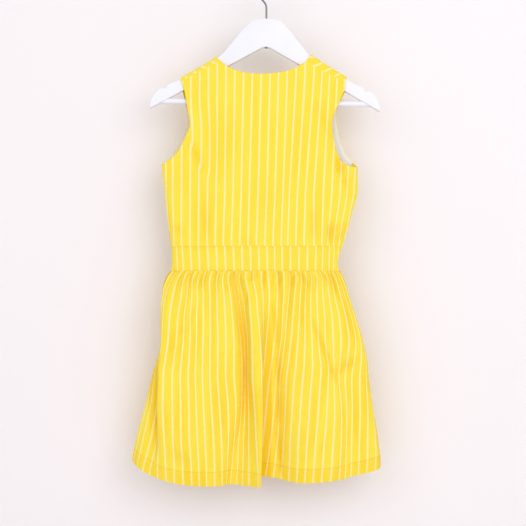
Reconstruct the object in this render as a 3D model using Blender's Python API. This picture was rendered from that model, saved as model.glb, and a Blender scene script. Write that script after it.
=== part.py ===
"""Sleeveless fit and flare dress on a shaped hanger with a trouser bar.

All tables are in millimetres. The origin is the point where the hook's loop bears on a rail.
+X is the viewer's right, -Y faces the viewer (the garment's back), +Z is up.
"""
import math

import bpy
import numpy as np
from mathutils import Vector
from mathutils.geometry import delaunay_2d_cdt

MM = 0.001

# Cloth sizes
CLOTH_WALL = 1.2
BAND_WALL = 1.6
HEM_WALL = 2.4
FACING_WALL = 0.9
FACING_WIDTH = 13.0
FACING_GAP = 0.7
FACING_TOP_Z = -222.0
FACING_FOOT_Z = -341.0
SEAM_GAP = 0.35
FACING_NEAR_SHARE = 0.06
FACING_SPACING = 12.0

# Heights of the seams
BAND_TOP_Z = -500.8
BAND_FOOT_Z = -547.8
UNDERARM_LEFT_Z = -348.2
UNDERARM_RIGHT_Z = -353.4

# Depth of the hanging garment, from the side seams to the middle of a panel
SHOULDER_DEPTH = 8.4
BODICE_DEPTH = 15.0
BAND_DEPTH = 14.0
SECTION_POWER = 2.5
SHOULDER_BLEND = 70.0
WRAP_SQUARENESS = 0.65
WRAP_TURNS = (0.0, 0.12, 0.31, 0.5, 0.69, 0.88, 1.0)
WAIST_BLEND = 60.0

# Spacing of the points on the bodice panels
BODICE_STEP_X = 21.0
BODICE_STEP_Z = 19.0
OUTLINE_MARGIN = 3.4
WRAP_MARGIN = 7.0
SEAM_SPACING = 12.0
SIDE_POINTS = 11
WRAP_POINTS = 12
EDGE_POINTS = 27
BAND_ROWS = 5
PANEL_MIDDLE = (0.0, -400.0)

# Edges of the front panel over the hanger: x on the front side, x at the shoulder seam.
# The rows between them stay clear of the edges
WRAP_ARM_LEFT = (-160.8, -159.8)
WRAP_NECK_LEFT = (-98.0, -92.0)
WRAP_NECK_RIGHT = (88.5, 82.0)
WRAP_ARM_RIGHT = (152.4, 148.4)
WRAP_ARM_ENDS = (-154.0, 146.0)
WRAP_NECK_CLEARANCE = 4.5

# Cut widths of the gathered skirt panels, hem turned up
SKIRT_BACK_CUT = 628.0
SKIRT_FRONT_CUT = 560.0

# Skirt back: stripes of the cloth, how far their traced places rule the spread at the band,
# and the flare below the last traced height
STRIPE_PITCH = 16.0
FIRST_STRIPE = 8.0
BAND_TRACED_SHARE = 0.5
LAST_FLARE = 0.45
LOWEST_HEM = -955.0

# Gathers of the skirt back: height of the waves, their share at the band, growth and reach down
GATHER_HEIGHT = 2.6
GATHER_START = 0.3
GATHER_GROWTH = 9.0
GATHER_REACH = 0.75

# Sections of the skirt front, and how both panels are divided
SECTION_SAMPLES = 1500
GATHER_HEADING = 1.2
REACH_SCALE = 1.5
LASTING_GATHER = 0.07
HUNG_FLATNESS = 0.82
HEM_TURN_SHARE = 0.935
SEAM_CALM_SHARE = 0.03
FLATNESS_REACH = 0.25
LARGEST_GAIN = 1.7
GAIN_STEPS = 24
COLUMN_SPACING = 2.4
BACK_COLUMNS_A_GATHER = 4
FRONT_COLUMNS_A_GATHER = 3

# Hanger
HANGER_TILT = math.radians(0.85)
CROWN_Z = -74.0
HANGER_HALF_DEPTH = 6.0
CREST_CLEARANCE = 3.9
WIRE_RADIUS = 1.75
LOOP_RADIUS = 21.0
HOOK_HOLE_RADIUS = 2.15
RIVET_RADIUS = 3.4
RIVET_DROP = 2.6
RIVET_HEAD = 1.6
HOOK_SIDES = 12
HOOK_END_RADIUS = 1.1
HOLE_SIDES = 16
BAR_RADIUS = 6.0
BAR_DROP = 157.0
BAR_SIDES = 20
BAR_END_GAP = 0.4
APEX_DROP = 51.0
TIP_HALF_SPAN = 215.0
TIP_DROP = 171.5

# Side outline of the dress: height, left edge, right edge
SIDES = [
    (-340.0, -197.2, 171.1),
    (-369.2, -194.8, 171.6),
    (-395.5, -191.4, 172.0),
    (-414.3, -190.3, 168.8),
    (-433.1, -188.0, 162.6),
    (-455.6, -185.2, 156.8),
    (-474.4, -182.4, 152.0),
    (-489.5, -180.1, 146.5),
    (-508.3, -178.0, 140.4),
    (-525.2, -177.1, 135.4),
    (-536.5, -177.5, 134.6),
    (-547.8, -180.0, 138.2),
    (-555.3, -185.6, 142.7),
    (-570.3, -191.8, 148.3),
    (-594.8, -195.5, 155.7),
    (-621.1, -197.2, 164.1),
    (-670.0, -197.8, 180.1),
    (-696.3, -201.3, 185.9),
    (-713.2, -206.6, 189.5),
    (-743.3, -214.4, 192.1),
    (-792.2, -226.0, 198.7),
    (-831.6, -236.7, 205.3),
    (-867.4, -245.3, 210.6),
    (-905.0, -252.9, 215.2),
    (-960.0, -255.0, 216.0),
]

# Back neckline from left to right: x, height
NECK_BACK = [
    (-84.9, -155.8), (-76.5, -163.3), (-67.0, -168.9), (-57.7, -172.7), (-42.1, -177.2),
    (-25.2, -179.4), (-9.4, -179.8), (7.7, -179.1), (23.3, -177.2), (38.9, -174.0),
    (56.0, -168.0), (66.9, -160.9),
]

# Front neckline from left to right below the shoulder wrap: x, height
NECK_FRONT = [
    (-98.0, -158.5), (-95.0, -170.0), (-87.0, -189.0), (-71.0, -210.0), (-50.0, -228.0),
    (-27.0, -239.0), (-4.0, -242.5), (19.0, -239.0), (42.0, -228.0), (62.0, -210.0),
    (77.0, -189.0), (85.0, -171.0), (88.5, -155.5),
]

# Shoulder seam on the viewer's side of the hanger: x, height
SEAM_LEFT = [(-159.6, -192.6), (-140.8, -182.4), (-124.6, -173.9), (-108.7, -166.1), (-84.9, -155.8)]
SEAM_RIGHT = [
    (73.5, -156.6), (90.4, -165.6), (104.7, -172.4), (119.2, -179.6), (133.5, -186.6),
    (148.0, -193.4),
]

# Armholes from shoulder to underarm: x, height
ARM_BACK_LEFT = [
    (-159.6, -192.6), (-155.0, -203.0), (-151.9, -215.0), (-149.6, -228.0), (-147.2, -241.3),
    (-143.8, -258.2), (-142.2, -271.4), (-144.2, -281.5), (-147.6, -290.2), (-153.6, -303.8),
    (-162.2, -319.3), (-170.9, -330.6), (-180.5, -339.1), (-190.1, -344.6), (-197.2, -348.2),
]
ARM_BACK_RIGHT = [
    (148.0, -193.4), (145.1, -209.4), (139.3, -224.4), (131.2, -241.3), (125.6, -252.6),
    (122.6, -265.8), (123.0, -284.6), (126.0, -303.4), (129.4, -317.6), (133.6, -330.3),
    (139.2, -341.0), (149.6, -349.8), (160.0, -352.9), (171.2, -353.4),
]
ARM_FRONT_LEFT = [
    (-160.0, -199.0), (-156.0, -215.0), (-153.0, -229.0), (-151.0, -243.0), (-149.4, -258.0),
    (-149.4, -271.0), (-151.2, -282.0), (-154.6, -291.0), (-160.0, -304.0), (-168.0, -319.0),
    (-176.0, -330.0), (-184.0, -338.4), (-191.5, -344.4), (-197.2, -348.2),
]
ARM_FRONT_RIGHT = [
    (150.5, -199.0), (146.5, -212.0), (140.5, -225.0), (134.4, -239.0), (131.0, -254.5),
    (132.0, -266.0), (134.0, -278.0), (138.0, -297.7), (143.6, -316.0), (150.8, -329.7),
    (160.4, -341.0), (171.2, -353.4),
]

# Lasting creases of the bodice back: start x, start height, end x, end height, depth, half width
BACK_CREASES = [
    (-116.0, -425.0, -114.0, -496.0, 2.0, 9.0),
    (88.0, -425.0, 90.0, -496.0, 2.2, 9.0),
    (121.0, -455.0, 118.0, -498.0, 2.4, 9.0),
    (130.5, -332.0, 140.0, -372.0, 2.8, 10.0),
    (96.0, -230.0, 128.0, -318.0, 1.8, 14.0),
    (-142.0, -298.0, -122.0, -362.0, 2.0, 9.0),
    (-184.0, -468.0, -150.0, -480.0, 1.6, 9.0),
]
FRONT_CREASES = [
    (-100.0, -420.0, -98.0, -496.0, 2.2, 9.0),
    (92.0, -420.0, 90.0, -496.0, 2.2, 9.0),
    (-140.0, -330.0, -92.0, -362.0, 2.0, 10.0),
    (132.0, -332.0, 84.0, -364.0, 2.0, 10.0),
    (-60.0, -262.0, -128.0, -300.0, 1.6, 14.0),
]

# Gathers of the skirt back from left to right: width along the seam, strength, reach down
GATHERS_BACK = [
    (7.0, 0.9, 60.0), (7.0, 1.0, 95.0), (8.0, 0.8, 70.0), (6.0, 1.0, 110.0),
    (8.0, 1.1, 60.0), (7.0, 0.9, 45.0), (6.5, 1.0, 80.0), (6.5, 0.9, 55.0),
    (7.0, 0.8, 40.0), (8.5, 1.1, 150.0), (9.0, 1.1, 170.0), (6.0, 0.9, 60.0),
    (8.0, 1.0, 50.0), (7.0, 1.0, 130.0), (9.5, 1.1, 180.0), (6.0, 0.9, 60.0),
    (11.0, 1.0, 90.0), (9.0, 0.9, 60.0), (6.0, 1.1, 75.0), (11.0, 1.0, 140.0),
    (9.5, 0.9, 80.0), (6.0, 1.0, 110.0),
]
GATHERS_FRONT = [
    (8.0, 1.0, 80.0), (7.0, 0.9, 60.0), (8.0, 1.0, 110.0), (7.0, 1.0, 60.0),
    (9.0, 1.1, 140.0), (7.0, 0.9, 60.0), (8.0, 1.0, 90.0), (7.0, 0.9, 50.0),
    (9.0, 1.1, 160.0), (7.0, 0.9, 60.0), (8.0, 1.0, 70.0), (8.0, 1.0, 110.0),
    (7.0, 0.9, 50.0), (9.0, 1.1, 150.0), (8.0, 1.0, 70.0), (7.0, 0.9, 60.0),
    (8.0, 1.0, 120.0), (7.0, 0.9, 60.0), (9.0, 1.1, 100.0), (8.0, 0.9, 60.0),
    (7.0, 1.0, 80.0), (8.0, 1.0, 60.0),
]

# Heights at which the skirt back's stripes and folds are given
SKIRT_HEIGHTS = (-557.2, -587.2, -632.4, -677.5, -737.6, -797.8, -858.0, -918.1)

# Path of the cloth's stripes down the skirt back: stripe number from the left, then x at each height
SKIRT_STRIPES = [
    (0.5, -184, -189.5, -191.5, -192.5, -210, -225, -240.5, -252),
    (2, -185, -193.5, -195, -196.5, -206.5, -214.5, -227.5, -239.5),
    (4, -180, -192, -197, -198, -195.5, -196.5, -201, -214),
    (5, -172, -186, -193, -195.5, -198.5, -201.5, -199.5, -200),
    (7, -151, -157.5, -164.5, -168, -171.5, -172.5, -171.5, -169),
    (9, -134.5, -138, -142, -142.5, -142.5, -142, -141, -137.5),
    (11, -115.5, -117.5, -117.5, -118.5, -116.5, -115, -112, -109.5),
    (13, -91, -92, -91.5, -90.5, -88.5, -85.5, -82, -81),
    (15, -70.5, -67.5, -63.5, -61, -58.5, -55, -58, -63.5),
    (16, -63.5, -59, -54, -48.5, -43.5, -44.5, -50, -53),
    (17, -57, -52.5, -47, -41.5, -38, -38.5, -41, -43),
    (18, -49.5, -45, -39, -35.5, -33, -32, -32, -31.5),
    (19, -38, -33.5, -29.5, -27, -24.5, -21, -18, -15),
    (20, -24, -19.5, -15.5, -11.5, -7, -6, -6, -8.5),
    (21, -9, -6.5, -5.5, -6.5, -6.5, -14.5, -21, -27),
    (22, 4, 6, 4, 0, -4.5, -14.5, -21, -26.5),
    (23, 20.5, 21.5, 19, 15.5, 8.5, 1.5, -4.5, -12.5),
    (24, 33, 33, 30.5, 27.5, 21, 16, 10, 1.5),
    (25, 44.5, 43, 38.5, 35, 28, 25.5, 22.5, 16),
    (27, 65.5, 64, 61.5, 58.5, 54, 49.5, 45.5, 43),
    (29, 84, 83.5, 83, 85, 85.5, 81, 76.5, 72.5),
    (31, 103.5, 105.5, 109, 110, 116, 113.5, 108.5, 103.5),
    (33, 120.5, 126.5, 135.5, 139.5, 135.5, 140, 139.5, 136),
    (35, 134.5, 145.5, 159, 167.5, 160.5, 160.5, 159, 157.5),
    (37, 143, 153.5, 167.5, 181.5, 187, 189, 188.5, 186.5),
    (38, 143.5, 152.5, 165.5, 181, 191.5, 198, 203.5, 203),
    (39, 142, 150, 162.5, 178, 190, 199, 208.5, 213),
    (39.75, 141, 148, 160, 175, 188, 198, 208.5, 215.5),
]

# Folds of the skirt back: stripe number, then the distance out of the seams' plane at each height
SKIRT_FOLDS = [
    (0.5, 0, 0, 0, 0, 0, 0, 0, 0),
    (2.5, 9, 11, 12, 12, 9, 8, 9, 12),
    (4, 13, 15, 17, 17, 9, 8, 10, 15),
    (5, 15, 18, 21, 23, 23, 23, 21, 19),
    (7, 14, 18, 22, 25, 26, 27, 27, 24),
    (9.5, 13, 17, 21, 24, 25, 26, 27, 27),
    (12.5, 13, 16, 19, 22, 24, 26, 27, 26),
    (14, 15, 18, 21, 23, 25, 27, 25, 16),
    (15.4, 13, 14, 17, 21, 25, 25, 14, 9),
    (16.8, 9, 8, 7, 7, 8, 10, 11, 14),
    (18.2, 14, 16, 18, 20, 19, 18, 21, 24),
    (19.4, 17, 20, 25, 29, 31, 32, 34, 35),
    (20.3, 16, 18, 21, 25, 30, 31, 30, 29),
    (21.5, 12, 12, 12, 14, 17, 14, 12, 13),
    (22.5, 12, 10, 8, 8, 10, 9, 7, 7),
    (24, 10, 8, 6, 5, 3, 6, 10, 12),
    (25, 12, 12, 12, 11, 6, 3, 4, 8),
    (26.5, 15, 17, 19, 20, 20, 18, 18, 17),
    (28.5, 15, 17, 22, 26, 27, 27, 26, 26),
    (30.5, 14, 18, 17, 19, 25, 28, 28, 27),
    (32, 13, 16, 20, 21, 18, 26, 28, 27),
    (33.5, 12, 14, 17, 20, 19, 19, 20, 20),
    (35, 10, 12, 13, 14, 16, 15, 16, 17),
    (36.5, 7, 9, 10, 9, 14, 17, 19, 20),
    (38, 4, 5, 5, 4, 5, 8, 12, 14),
    (39.75, 0, 0, 0, 0, 0, 0, 0, 0),
]

# Heading of the cloth across the skirt front in degrees, plus means away from the viewer.
# Columns: share of the width, then the heading at each share of the length in FOLD_DEPTHS
FOLD_DEPTHS = (0.0, 0.12, 0.3, 0.5, 0.75, 1.0)
FOLDS_FRONT = [
    (0.000, 76, 72, 50, 50, 66, 74),
    (0.025, 56, 58, 44, 44, 54, 62),
    (0.060, 12, 20, 26, 30, 40, 44),
    (0.100, 0, 0, 6, 8, 12, 16),
    (0.170, 0, -8, -22, -26, -24, -22),
    (0.210, 0, 12, 26, 30, 30, 30),
    (0.280, 0, 4, 2, 0, 0, 0),
    (0.340, 0, -12, -34, -42, -42, -40),
    (0.390, 0, 18, 36, 42, 44, 44),
    (0.450, 0, 0, 2, 4, 4, 2),
    (0.520, 0, -6, -10, -12, -12, -14),
    (0.580, 0, -16, -30, -36, -38, -36),
    (0.630, 0, 18, 34, 38, 40, 40),
    (0.700, 0, 2, 4, 0, 0, 0),
    (0.780, 0, -10, -30, -34, -34, -32),
    (0.830, 0, 12, 24, 26, 26, 26),
    (0.900, 0, 0, -6, -8, -12, -14),
    (0.940, -12, -20, -26, -30, -38, -42),
    (0.975, -56, -58, -50, -52, -58, -62),
    (1.000, -76, -74, -66, -66, -70, -74),
]

# Hem edge across each skirt panel: share of the width, height
HEM_BACK = [
    (0.00, -905.0), (0.04, -915.0), (0.10, -931.0), (0.14, -939.0), (0.18, -944.0),
    (0.23, -947.0), (0.30, -947.0), (0.36, -946.5), (0.43, -948.0), (0.48, -948.0),
    (0.515, -947.0), (0.54, -937.0), (0.57, -931.5), (0.62, -935.0), (0.68, -940.5),
    (0.74, -941.5), (0.80, -938.5), (0.86, -934.0), (0.90, -928.0), (0.96, -920.0),
    (1.00, -914.2),
]
HEM_FRONT = [
    (0.00, -905.0), (0.10, -922.0), (0.25, -936.0), (0.40, -941.0), (0.50, -942.0),
    (0.65, -941.0), (0.80, -935.0), (0.92, -924.0), (1.00, -914.2),
]

# Half outline of the hanger body's upper edge: distance from the middle, drop below the crown.
# The cloth lies on the first SHOULDER_ROWS rows
SHOULDER_ROWS = 14
HANGER_EDGE = [
    (0.0, 0.0), (12.0, 0.4), (22.0, 2.0), (28.5, 5.0), (34.0, 10.5), (41.0, 18.0),
    (49.0, 27.0), (60.0, 41.0), (72.0, 55.5), (85.0, 70.5), (100.0, 80.4), (120.0, 93.0),
    (140.0, 104.6), (160.0, 116.0), (172.0, 121.4), (182.0, 125.2), (184.6, 128.2),
    (186.2, 132.0), (189.0, 133.6), (191.8, 132.6), (194.0, 131.4), (200.0, 135.6),
    (207.0, 142.6), (212.0, 150.6), (215.4, 159.4), (216.8, 166.4), (215.0, 171.5),
]

# Rounding of the hanger body's edges: distance from the flat face, distance in from the outline
EDGE_ROUNDING = [(0.0, 2.6), (0.8, 0.9), (2.6, 0.0)]

# Shares of an arm's underside that get a point
ARM_SHARES = (0.2, 0.4, 0.6, 0.8)

# Centre line of the hook's wire from the crown to the start of the loop: x, height
HOOK_STEM = [(0.0, -60.0), (0.0, -53.0), (-1.2, -47.4), (-6.4, -39.6), (-14.2, -32.4), (-19.4, -26.0)]
LOOP_START_DEG = 178.0
LOOP_END_DEG = -24.0
LOOP_STEP_DEG = 13.0

# Surface colours as read from the photo, red green blue from 0 to 255
YELLOW_CLOTH = (253, 226, 66)
PALE_LINING = (250, 226, 190)
WHITE_PAINT = (246, 245, 249)
GREY_STEEL = (92, 94, 98)

# Columns added across the deepest fold, as shares of the skirt back's width
OVERLAP_COLUMNS = (0.452, 0.462, 0.472, 0.482, 0.492, 0.502, 0.512, 0.522, 0.532, 0.542, 0.552, 0.562)

# Rows of the skirt panels, as shares of the length
SKIRT_ROWS = (0.0, 0.018, 0.045, 0.085, 0.14, 0.22, 0.32, 0.44, 0.56, 0.68, 0.8, 0.9, HEM_TURN_SHARE, 1.0)


def clear_scene():
    """Remove whatever the file starts with."""
    for item in list(bpy.data.objects):
        bpy.data.objects.remove(item, do_unlink=True)


def linear_colour(rgb):
    """Turn screen colour values into the linear values a shader takes."""
    channels = []
    for value in rgb:
        share = value / 255.0
        channels.append(share / 12.92 if share <= 0.04045 else ((share + 0.055) / 1.055) ** 2.4)
    return (*channels, 1.0)


def surface_material(name, rgb, roughness, metallic=0.0):
    """One plain shader material."""
    material = bpy.data.materials.new(name)
    material.use_nodes = True
    shader = material.node_tree.nodes["Principled BSDF"]
    shader.inputs["Base Color"].default_value = linear_colour(rgb)
    shader.inputs["Roughness"].default_value = roughness
    shader.inputs["Metallic"].default_value = metallic
    material.diffuse_color = linear_colour(rgb)
    return material


def add_body(name, points, faces, material, smooth=True):
    """Make one named object from points in millimetres."""
    mesh = bpy.data.meshes.new(name)
    mesh.from_pydata([Vector(point) * MM for point in points], [], faces)
    mesh.validate()
    mesh.materials.append(material)
    for polygon in mesh.polygons:
        polygon.use_smooth = smooth
    body = bpy.data.objects.new(name, mesh)
    bpy.context.collection.objects.link(body)
    return body


def ease(value):
    """Smooth step from 0 to 1."""
    value = np.clip(value, 0.0, 1.0)
    return value * value * (3.0 - 2.0 * value)


def side_edges(height):
    """Left and right edge of the dress at a height."""
    heights = [row[0] for row in reversed(SIDES)]
    left = np.interp(height, heights, [row[1] for row in reversed(SIDES)])
    right = np.interp(height, heights, [row[2] for row in reversed(SIDES)])
    return float(left), float(right)


def closed_shell(outer, inner, faces):
    """Join an outer and an inner copy of a sheet with a rim into one closed wall."""
    count = len(outer)
    points = list(outer) + list(inner)
    walls = [tuple(face) for face in faces]
    walls += [tuple(index + count for index in reversed(face)) for face in faces]
    seen = {}
    for face in faces:
        for start, end in zip(face, face[1:] + face[:1]):
            seen[(start, end)] = True
    for start, end in seen:
        if (end, start) not in seen:
            walls.append((end, start, start + count, end + count))
    return points, walls


# Skirt

def gather_wave(gathers, cut):
    """Phase, strength and reach of the gathers along a skirt panel's width."""
    widths = np.array([row[0] for row in gathers])
    ends = np.concatenate([[0.0], np.cumsum(widths)]) / widths.sum()
    shares = np.linspace(0.0, 1.0, SECTION_SAMPLES)
    phase = np.interp(shares, ends, np.arange(len(ends))) * 2.0 * math.pi
    middles = 0.5 * (ends[1:] + ends[:-1])
    strength = np.interp(shares, middles, [row[1] for row in gathers])
    reach = np.interp(shares, middles, [row[2] for row in gathers])
    return shares, phase, strength, reach, ends, cut


def fold_heading(folds, share_down, shares):
    """Heading of the big folds across the width at one depth, in radians."""
    row_values = [np.interp(share_down, FOLD_DEPTHS, row[1:]) for row in folds]
    stations = [row[0] for row in folds]
    index = np.clip(np.searchsorted(stations, shares, side="right") - 1, 0, len(stations) - 2)
    low = np.array(stations)[index]
    high = np.array(stations)[index + 1]
    blend = ease((shares - low) / (high - low))
    values = np.array(row_values)
    return np.radians(values[index] * (1.0 - blend) + values[index + 1] * blend)


def summed(values):
    """Running total of the values' means from point to point."""
    return np.concatenate([[0.0], np.cumsum(0.5 * (values[1:] + values[:-1]))])


def front_section(wave, folds, share_down, length, left, right):
    """Plan curve of a skirt panel at one depth: x and distance out of the side seams' plane."""
    shares, phase, strength, reach, _, cut = wave
    depth = share_down * length
    fade = np.exp(-(depth / (reach * REACH_SCALE)) ** 2) + LASTING_GATHER
    edge_fade = ease(shares / SEAM_CALM_SHARE) * ease((1.0 - shares) / SEAM_CALM_SHARE)
    gathers = np.cos(phase) * strength * fade * edge_fade * GATHER_HEADING
    base = fold_heading(folds, share_down, shares)
    step = cut / (SECTION_SAMPLES - 1)
    low, high = 0.0, LARGEST_GAIN
    for _ in range(GAIN_STEPS):
        gain = 0.5 * (low + high)
        heading = gain * (base + gathers)
        across = summed(np.cos(heading)) * step
        if across[-1] > right - left:
            low = gain
        else:
            high = gain
    outward = summed(np.sin(heading)) * step
    flatness = 1.0 - (1.0 - HUNG_FLATNESS) * float(ease(share_down / FLATNESS_REACH))
    outward = (outward - outward[-1] * shares) * flatness
    return left + across * (right - left) / across[-1], outward


def smooth_at(stations, values, places):
    """Smooth curve through values given at stations."""
    stations = np.asarray(stations, dtype=float)
    values = np.asarray(values, dtype=float)
    slopes = np.gradient(values, stations, axis=0)
    index = np.clip(np.searchsorted(stations, places, side="right") - 1, 0, len(stations) - 2)
    width = stations[index + 1] - stations[index]
    share = (places - stations[index]) / width
    if values.ndim > 1:
        share = share[:, None]
        width = width[:, None]
    rise = share * share * (3.0 - 2.0 * share)
    bend = share * (1.0 - share) * width
    curve = values[index] * (1.0 - rise) + values[index + 1] * rise
    return curve + bend * ((1.0 - share) * slopes[index] - share * slopes[index + 1])


def back_grid(columns):
    """Each column's x and distance outwards from the band down to the hem, and the heights they are at."""
    numbers = (columns * SKIRT_BACK_CUT + FIRST_STRIPE) / STRIPE_PITCH
    across = smooth_at([row[0] for row in SKIRT_STRIPES], [row[1:] for row in SKIRT_STRIPES], numbers)
    outward = smooth_at([row[0] for row in SKIRT_FOLDS], [row[1:] for row in SKIRT_FOLDS], numbers)
    left, right = side_edges(BAND_FOOT_Z)
    traced = (across[:, 0] - across[0, 0]) / (across[-1, 0] - across[0, 0])
    band_x = left + (right - left) * (BAND_TRACED_SHARE * traced + (1.0 - BAND_TRACED_SHARE) * columns)
    band_y = lens_depth(band_x, left, right, BAND_DEPTH)
    hem_x = across[:, -1] + LAST_FLARE * (across[:, -1] - across[:, -2])
    across = np.column_stack([band_x, across, hem_x])
    outward = np.maximum(np.column_stack([band_y, outward, outward[:, -1]]), 0.0)
    return np.array((BAND_FOOT_Z, *SKIRT_HEIGHTS, LOWEST_HEM)), across, outward


def back_section(grid, wave, columns, heights):
    """Plan curve of the skirt back with each column at its own height: x and distance outwards."""
    stations, across, outward = grid
    shares, phase, strength, reach, _, _ = wave
    xs = np.array([smooth_at(-stations, row, -height) for row, height in zip(across, heights)])
    ys = np.array([smooth_at(-stations, row, -height) for row, height in zip(outward, heights)])
    left, _ = side_edges(heights[0])
    _, right = side_edges(heights[-1])
    xs = left + (xs - xs.min()) * (right - left) / (xs.max() - xs.min())
    depths = BAND_FOOT_Z - heights
    calm = ease(columns / SEAM_CALM_SHARE) * ease((1.0 - columns) / SEAM_CALM_SHARE)
    growth = GATHER_START + (1.0 - GATHER_START) * ease(depths / GATHER_GROWTH)
    fade = np.exp(-(depths / (np.interp(columns, shares, reach) * GATHER_REACH)) ** 2)
    gathers = np.cos(np.interp(columns, shares, phase)) * np.interp(columns, shares, strength)
    return xs, ys + GATHER_HEIGHT * gathers * growth * fade * calm


def skirt_columns(wave, per_gather, extra):
    """Shares of the width at which the panel gets a column of points."""
    ends = wave[4]
    columns = []
    for low, high in zip(ends[:-1], ends[1:]):
        for part in range(per_gather):
            columns.append(low + (high - low) * part / per_gather)
    columns.append(1.0)
    spacing = COLUMN_SPACING / wave[5]
    for share in extra:
        if min(abs(share - column) for column in columns) > spacing:
            columns.append(share)
    return np.array(sorted(columns))


def wall_in_plan(across, outward, thickness):
    """Inner curve of a wall in plan, the edge columns kept in the seam's plane."""
    dx = np.gradient(across)
    dy = np.gradient(outward)
    length = np.hypot(dx, dy)
    length[length < 1e-9] = 1.0
    inner_x = across + dy / length * thickness
    inner_y = outward - dx / length * thickness
    inner_x[0] = across[0] + thickness
    inner_y[0] = outward[0]
    inner_x[-1] = across[-1] - thickness
    inner_y[-1] = outward[-1]
    return inner_x, inner_y


def panel_hem(table, shares):
    """Height of the hem edge at each column."""
    return np.interp(shares, [row[0] for row in table], [row[1] for row in table])


def skirt_panel(name, gathers, hem, cut, facing_sign, per_gather, extra, seams, material):
    """One gathered skirt panel with its turned-up hem. facing_sign is -1 for the viewer's side."""
    wave = gather_wave(gathers, cut)
    columns = skirt_columns(wave, per_gather, extra)
    edge = panel_hem(hem, columns)
    top = BAND_FOOT_Z - 0.5 * SEAM_GAP
    grid = back_grid(columns)
    outer, inner, seam_points = [], [], []
    for number, share_down in enumerate(SKIRT_ROWS):
        heights = top + (edge - top) * share_down
        if seams is None:
            across, outward = back_section(grid, wave, columns, heights)
        else:
            across, outward = front_section(wave, FOLDS_FRONT, share_down, top - edge.mean(), *seams[number])
            across = np.interp(columns, wave[0], across)
            outward = np.interp(columns, wave[0], outward)
        outward = outward + 0.5 * SEAM_GAP
        thickness = HEM_WALL if share_down >= HEM_TURN_SHARE else CLOTH_WALL
        inner_x, inner_y = wall_in_plan(across, outward, thickness)
        outer += list(zip(across, facing_sign * outward, heights))
        inner += list(zip(inner_x, facing_sign * inner_y, heights))
        seam_points.append((across[0], across[-1]))
    faces = grid_faces(len(SKIRT_ROWS), len(columns), facing_sign < 0)
    points, walls = closed_shell(outer, inner, faces)
    add_body(name, points, walls, material)
    return seam_points


def grid_faces(rows, columns, viewer_side):
    """Four-sided faces of a grid, turned outwards."""
    faces = []
    for row in range(rows - 1):
        for column in range(columns - 1):
            first = row * columns + column
            face = (first, first + columns, first + columns + 1, first + 1)
            faces.append(face if viewer_side else tuple(reversed(face)))
    return faces


# Waistband

def lens_depth(x, left, right, depth):
    """Distance out of the side seams' plane on the flattened tube of the garment."""
    middle = 0.5 * (left + right)
    half = 0.5 * (right - left)
    share = np.clip(np.abs((x - middle) / half), 0.0, 1.0)
    return depth * (1.0 - share ** SECTION_POWER) ** (1.0 / SECTION_POWER)


def band_panel(name, facing_sign, material):
    """One half of the waistband from side seam to side seam."""
    heights = np.linspace(BAND_TOP_Z - 0.5 * SEAM_GAP, BAND_FOOT_Z + 0.5 * SEAM_GAP, BAND_ROWS)
    turns = np.linspace(-0.5 * math.pi, 0.5 * math.pi, EDGE_POINTS)
    outer, inner = [], []
    for height in heights:
        left, right = side_edges(height)
        across = 0.5 * (left + right) + 0.5 * (right - left) * np.sin(turns)
        outward = lens_depth(across, left, right, BAND_DEPTH) + 0.5 * SEAM_GAP
        inner_x, inner_y = wall_in_plan(across, outward, BAND_WALL)
        outer += list(zip(across, facing_sign * outward, [height] * len(across)))
        inner += list(zip(inner_x, facing_sign * inner_y, [height] * len(across)))
    faces = grid_faces(len(heights), len(turns), facing_sign < 0)
    points, walls = closed_shell(outer, inner, faces)
    add_body(name, points, walls, material)


# Bodice

def hanger_top(x):
    """Height of the hanger body's upper edge at a distance along the dress, tilt included."""
    rows = HANGER_EDGE[:SHOULDER_ROWS]
    drop = np.interp(abs(x), [row[0] for row in rows], [row[1] for row in rows])
    return CROWN_Z - drop - x * math.tan(HANGER_TILT)


def crest(x):
    """Height of the cloth's fold over the hanger."""
    return hanger_top(x) + CREST_CLEARANCE


def crease_relief(x, height, creases):
    """Depth of the lasting creases at a place on a bodice panel."""
    total = 0.0
    for x0, z0, x1, z1, depth, half_width in creases:
        run = Vector((x1 - x0, z1 - z0))
        offset = Vector((x - x0, height - z0))
        along = min(max(offset.dot(run) / run.length_squared, 0.0), 1.0)
        distance = (offset - run * along).length
        total += depth * math.exp(-(distance / half_width) ** 2) * math.sin(math.pi * along)
    return total


def bodice_depth(x, height, start):
    """Distance of a bodice panel from the seams' plane; start is where it leaves the hanger."""
    left, right = side_edges(min(height, SIDES[0][0]))
    lens = float(lens_depth(x, left, right, BODICE_DEPTH))
    blend = float(ease((start - height) / SHOULDER_BLEND))
    waist = float(ease((height - BAND_TOP_Z) / WAIST_BLEND))
    depth = lens * (waist + (1.0 - waist) * BAND_DEPTH / BODICE_DEPTH)
    return SHOULDER_DEPTH * (1.0 - blend) + depth * blend + 0.5 * SEAM_GAP


def back_place(x, height):
    """Place of a point of the bodice back on the viewer's side."""
    depth = bodice_depth(x, height, crest(x) - SHOULDER_DEPTH)
    return Vector((x, -(depth - crease_relief(x, height, BACK_CREASES)), height))


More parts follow.
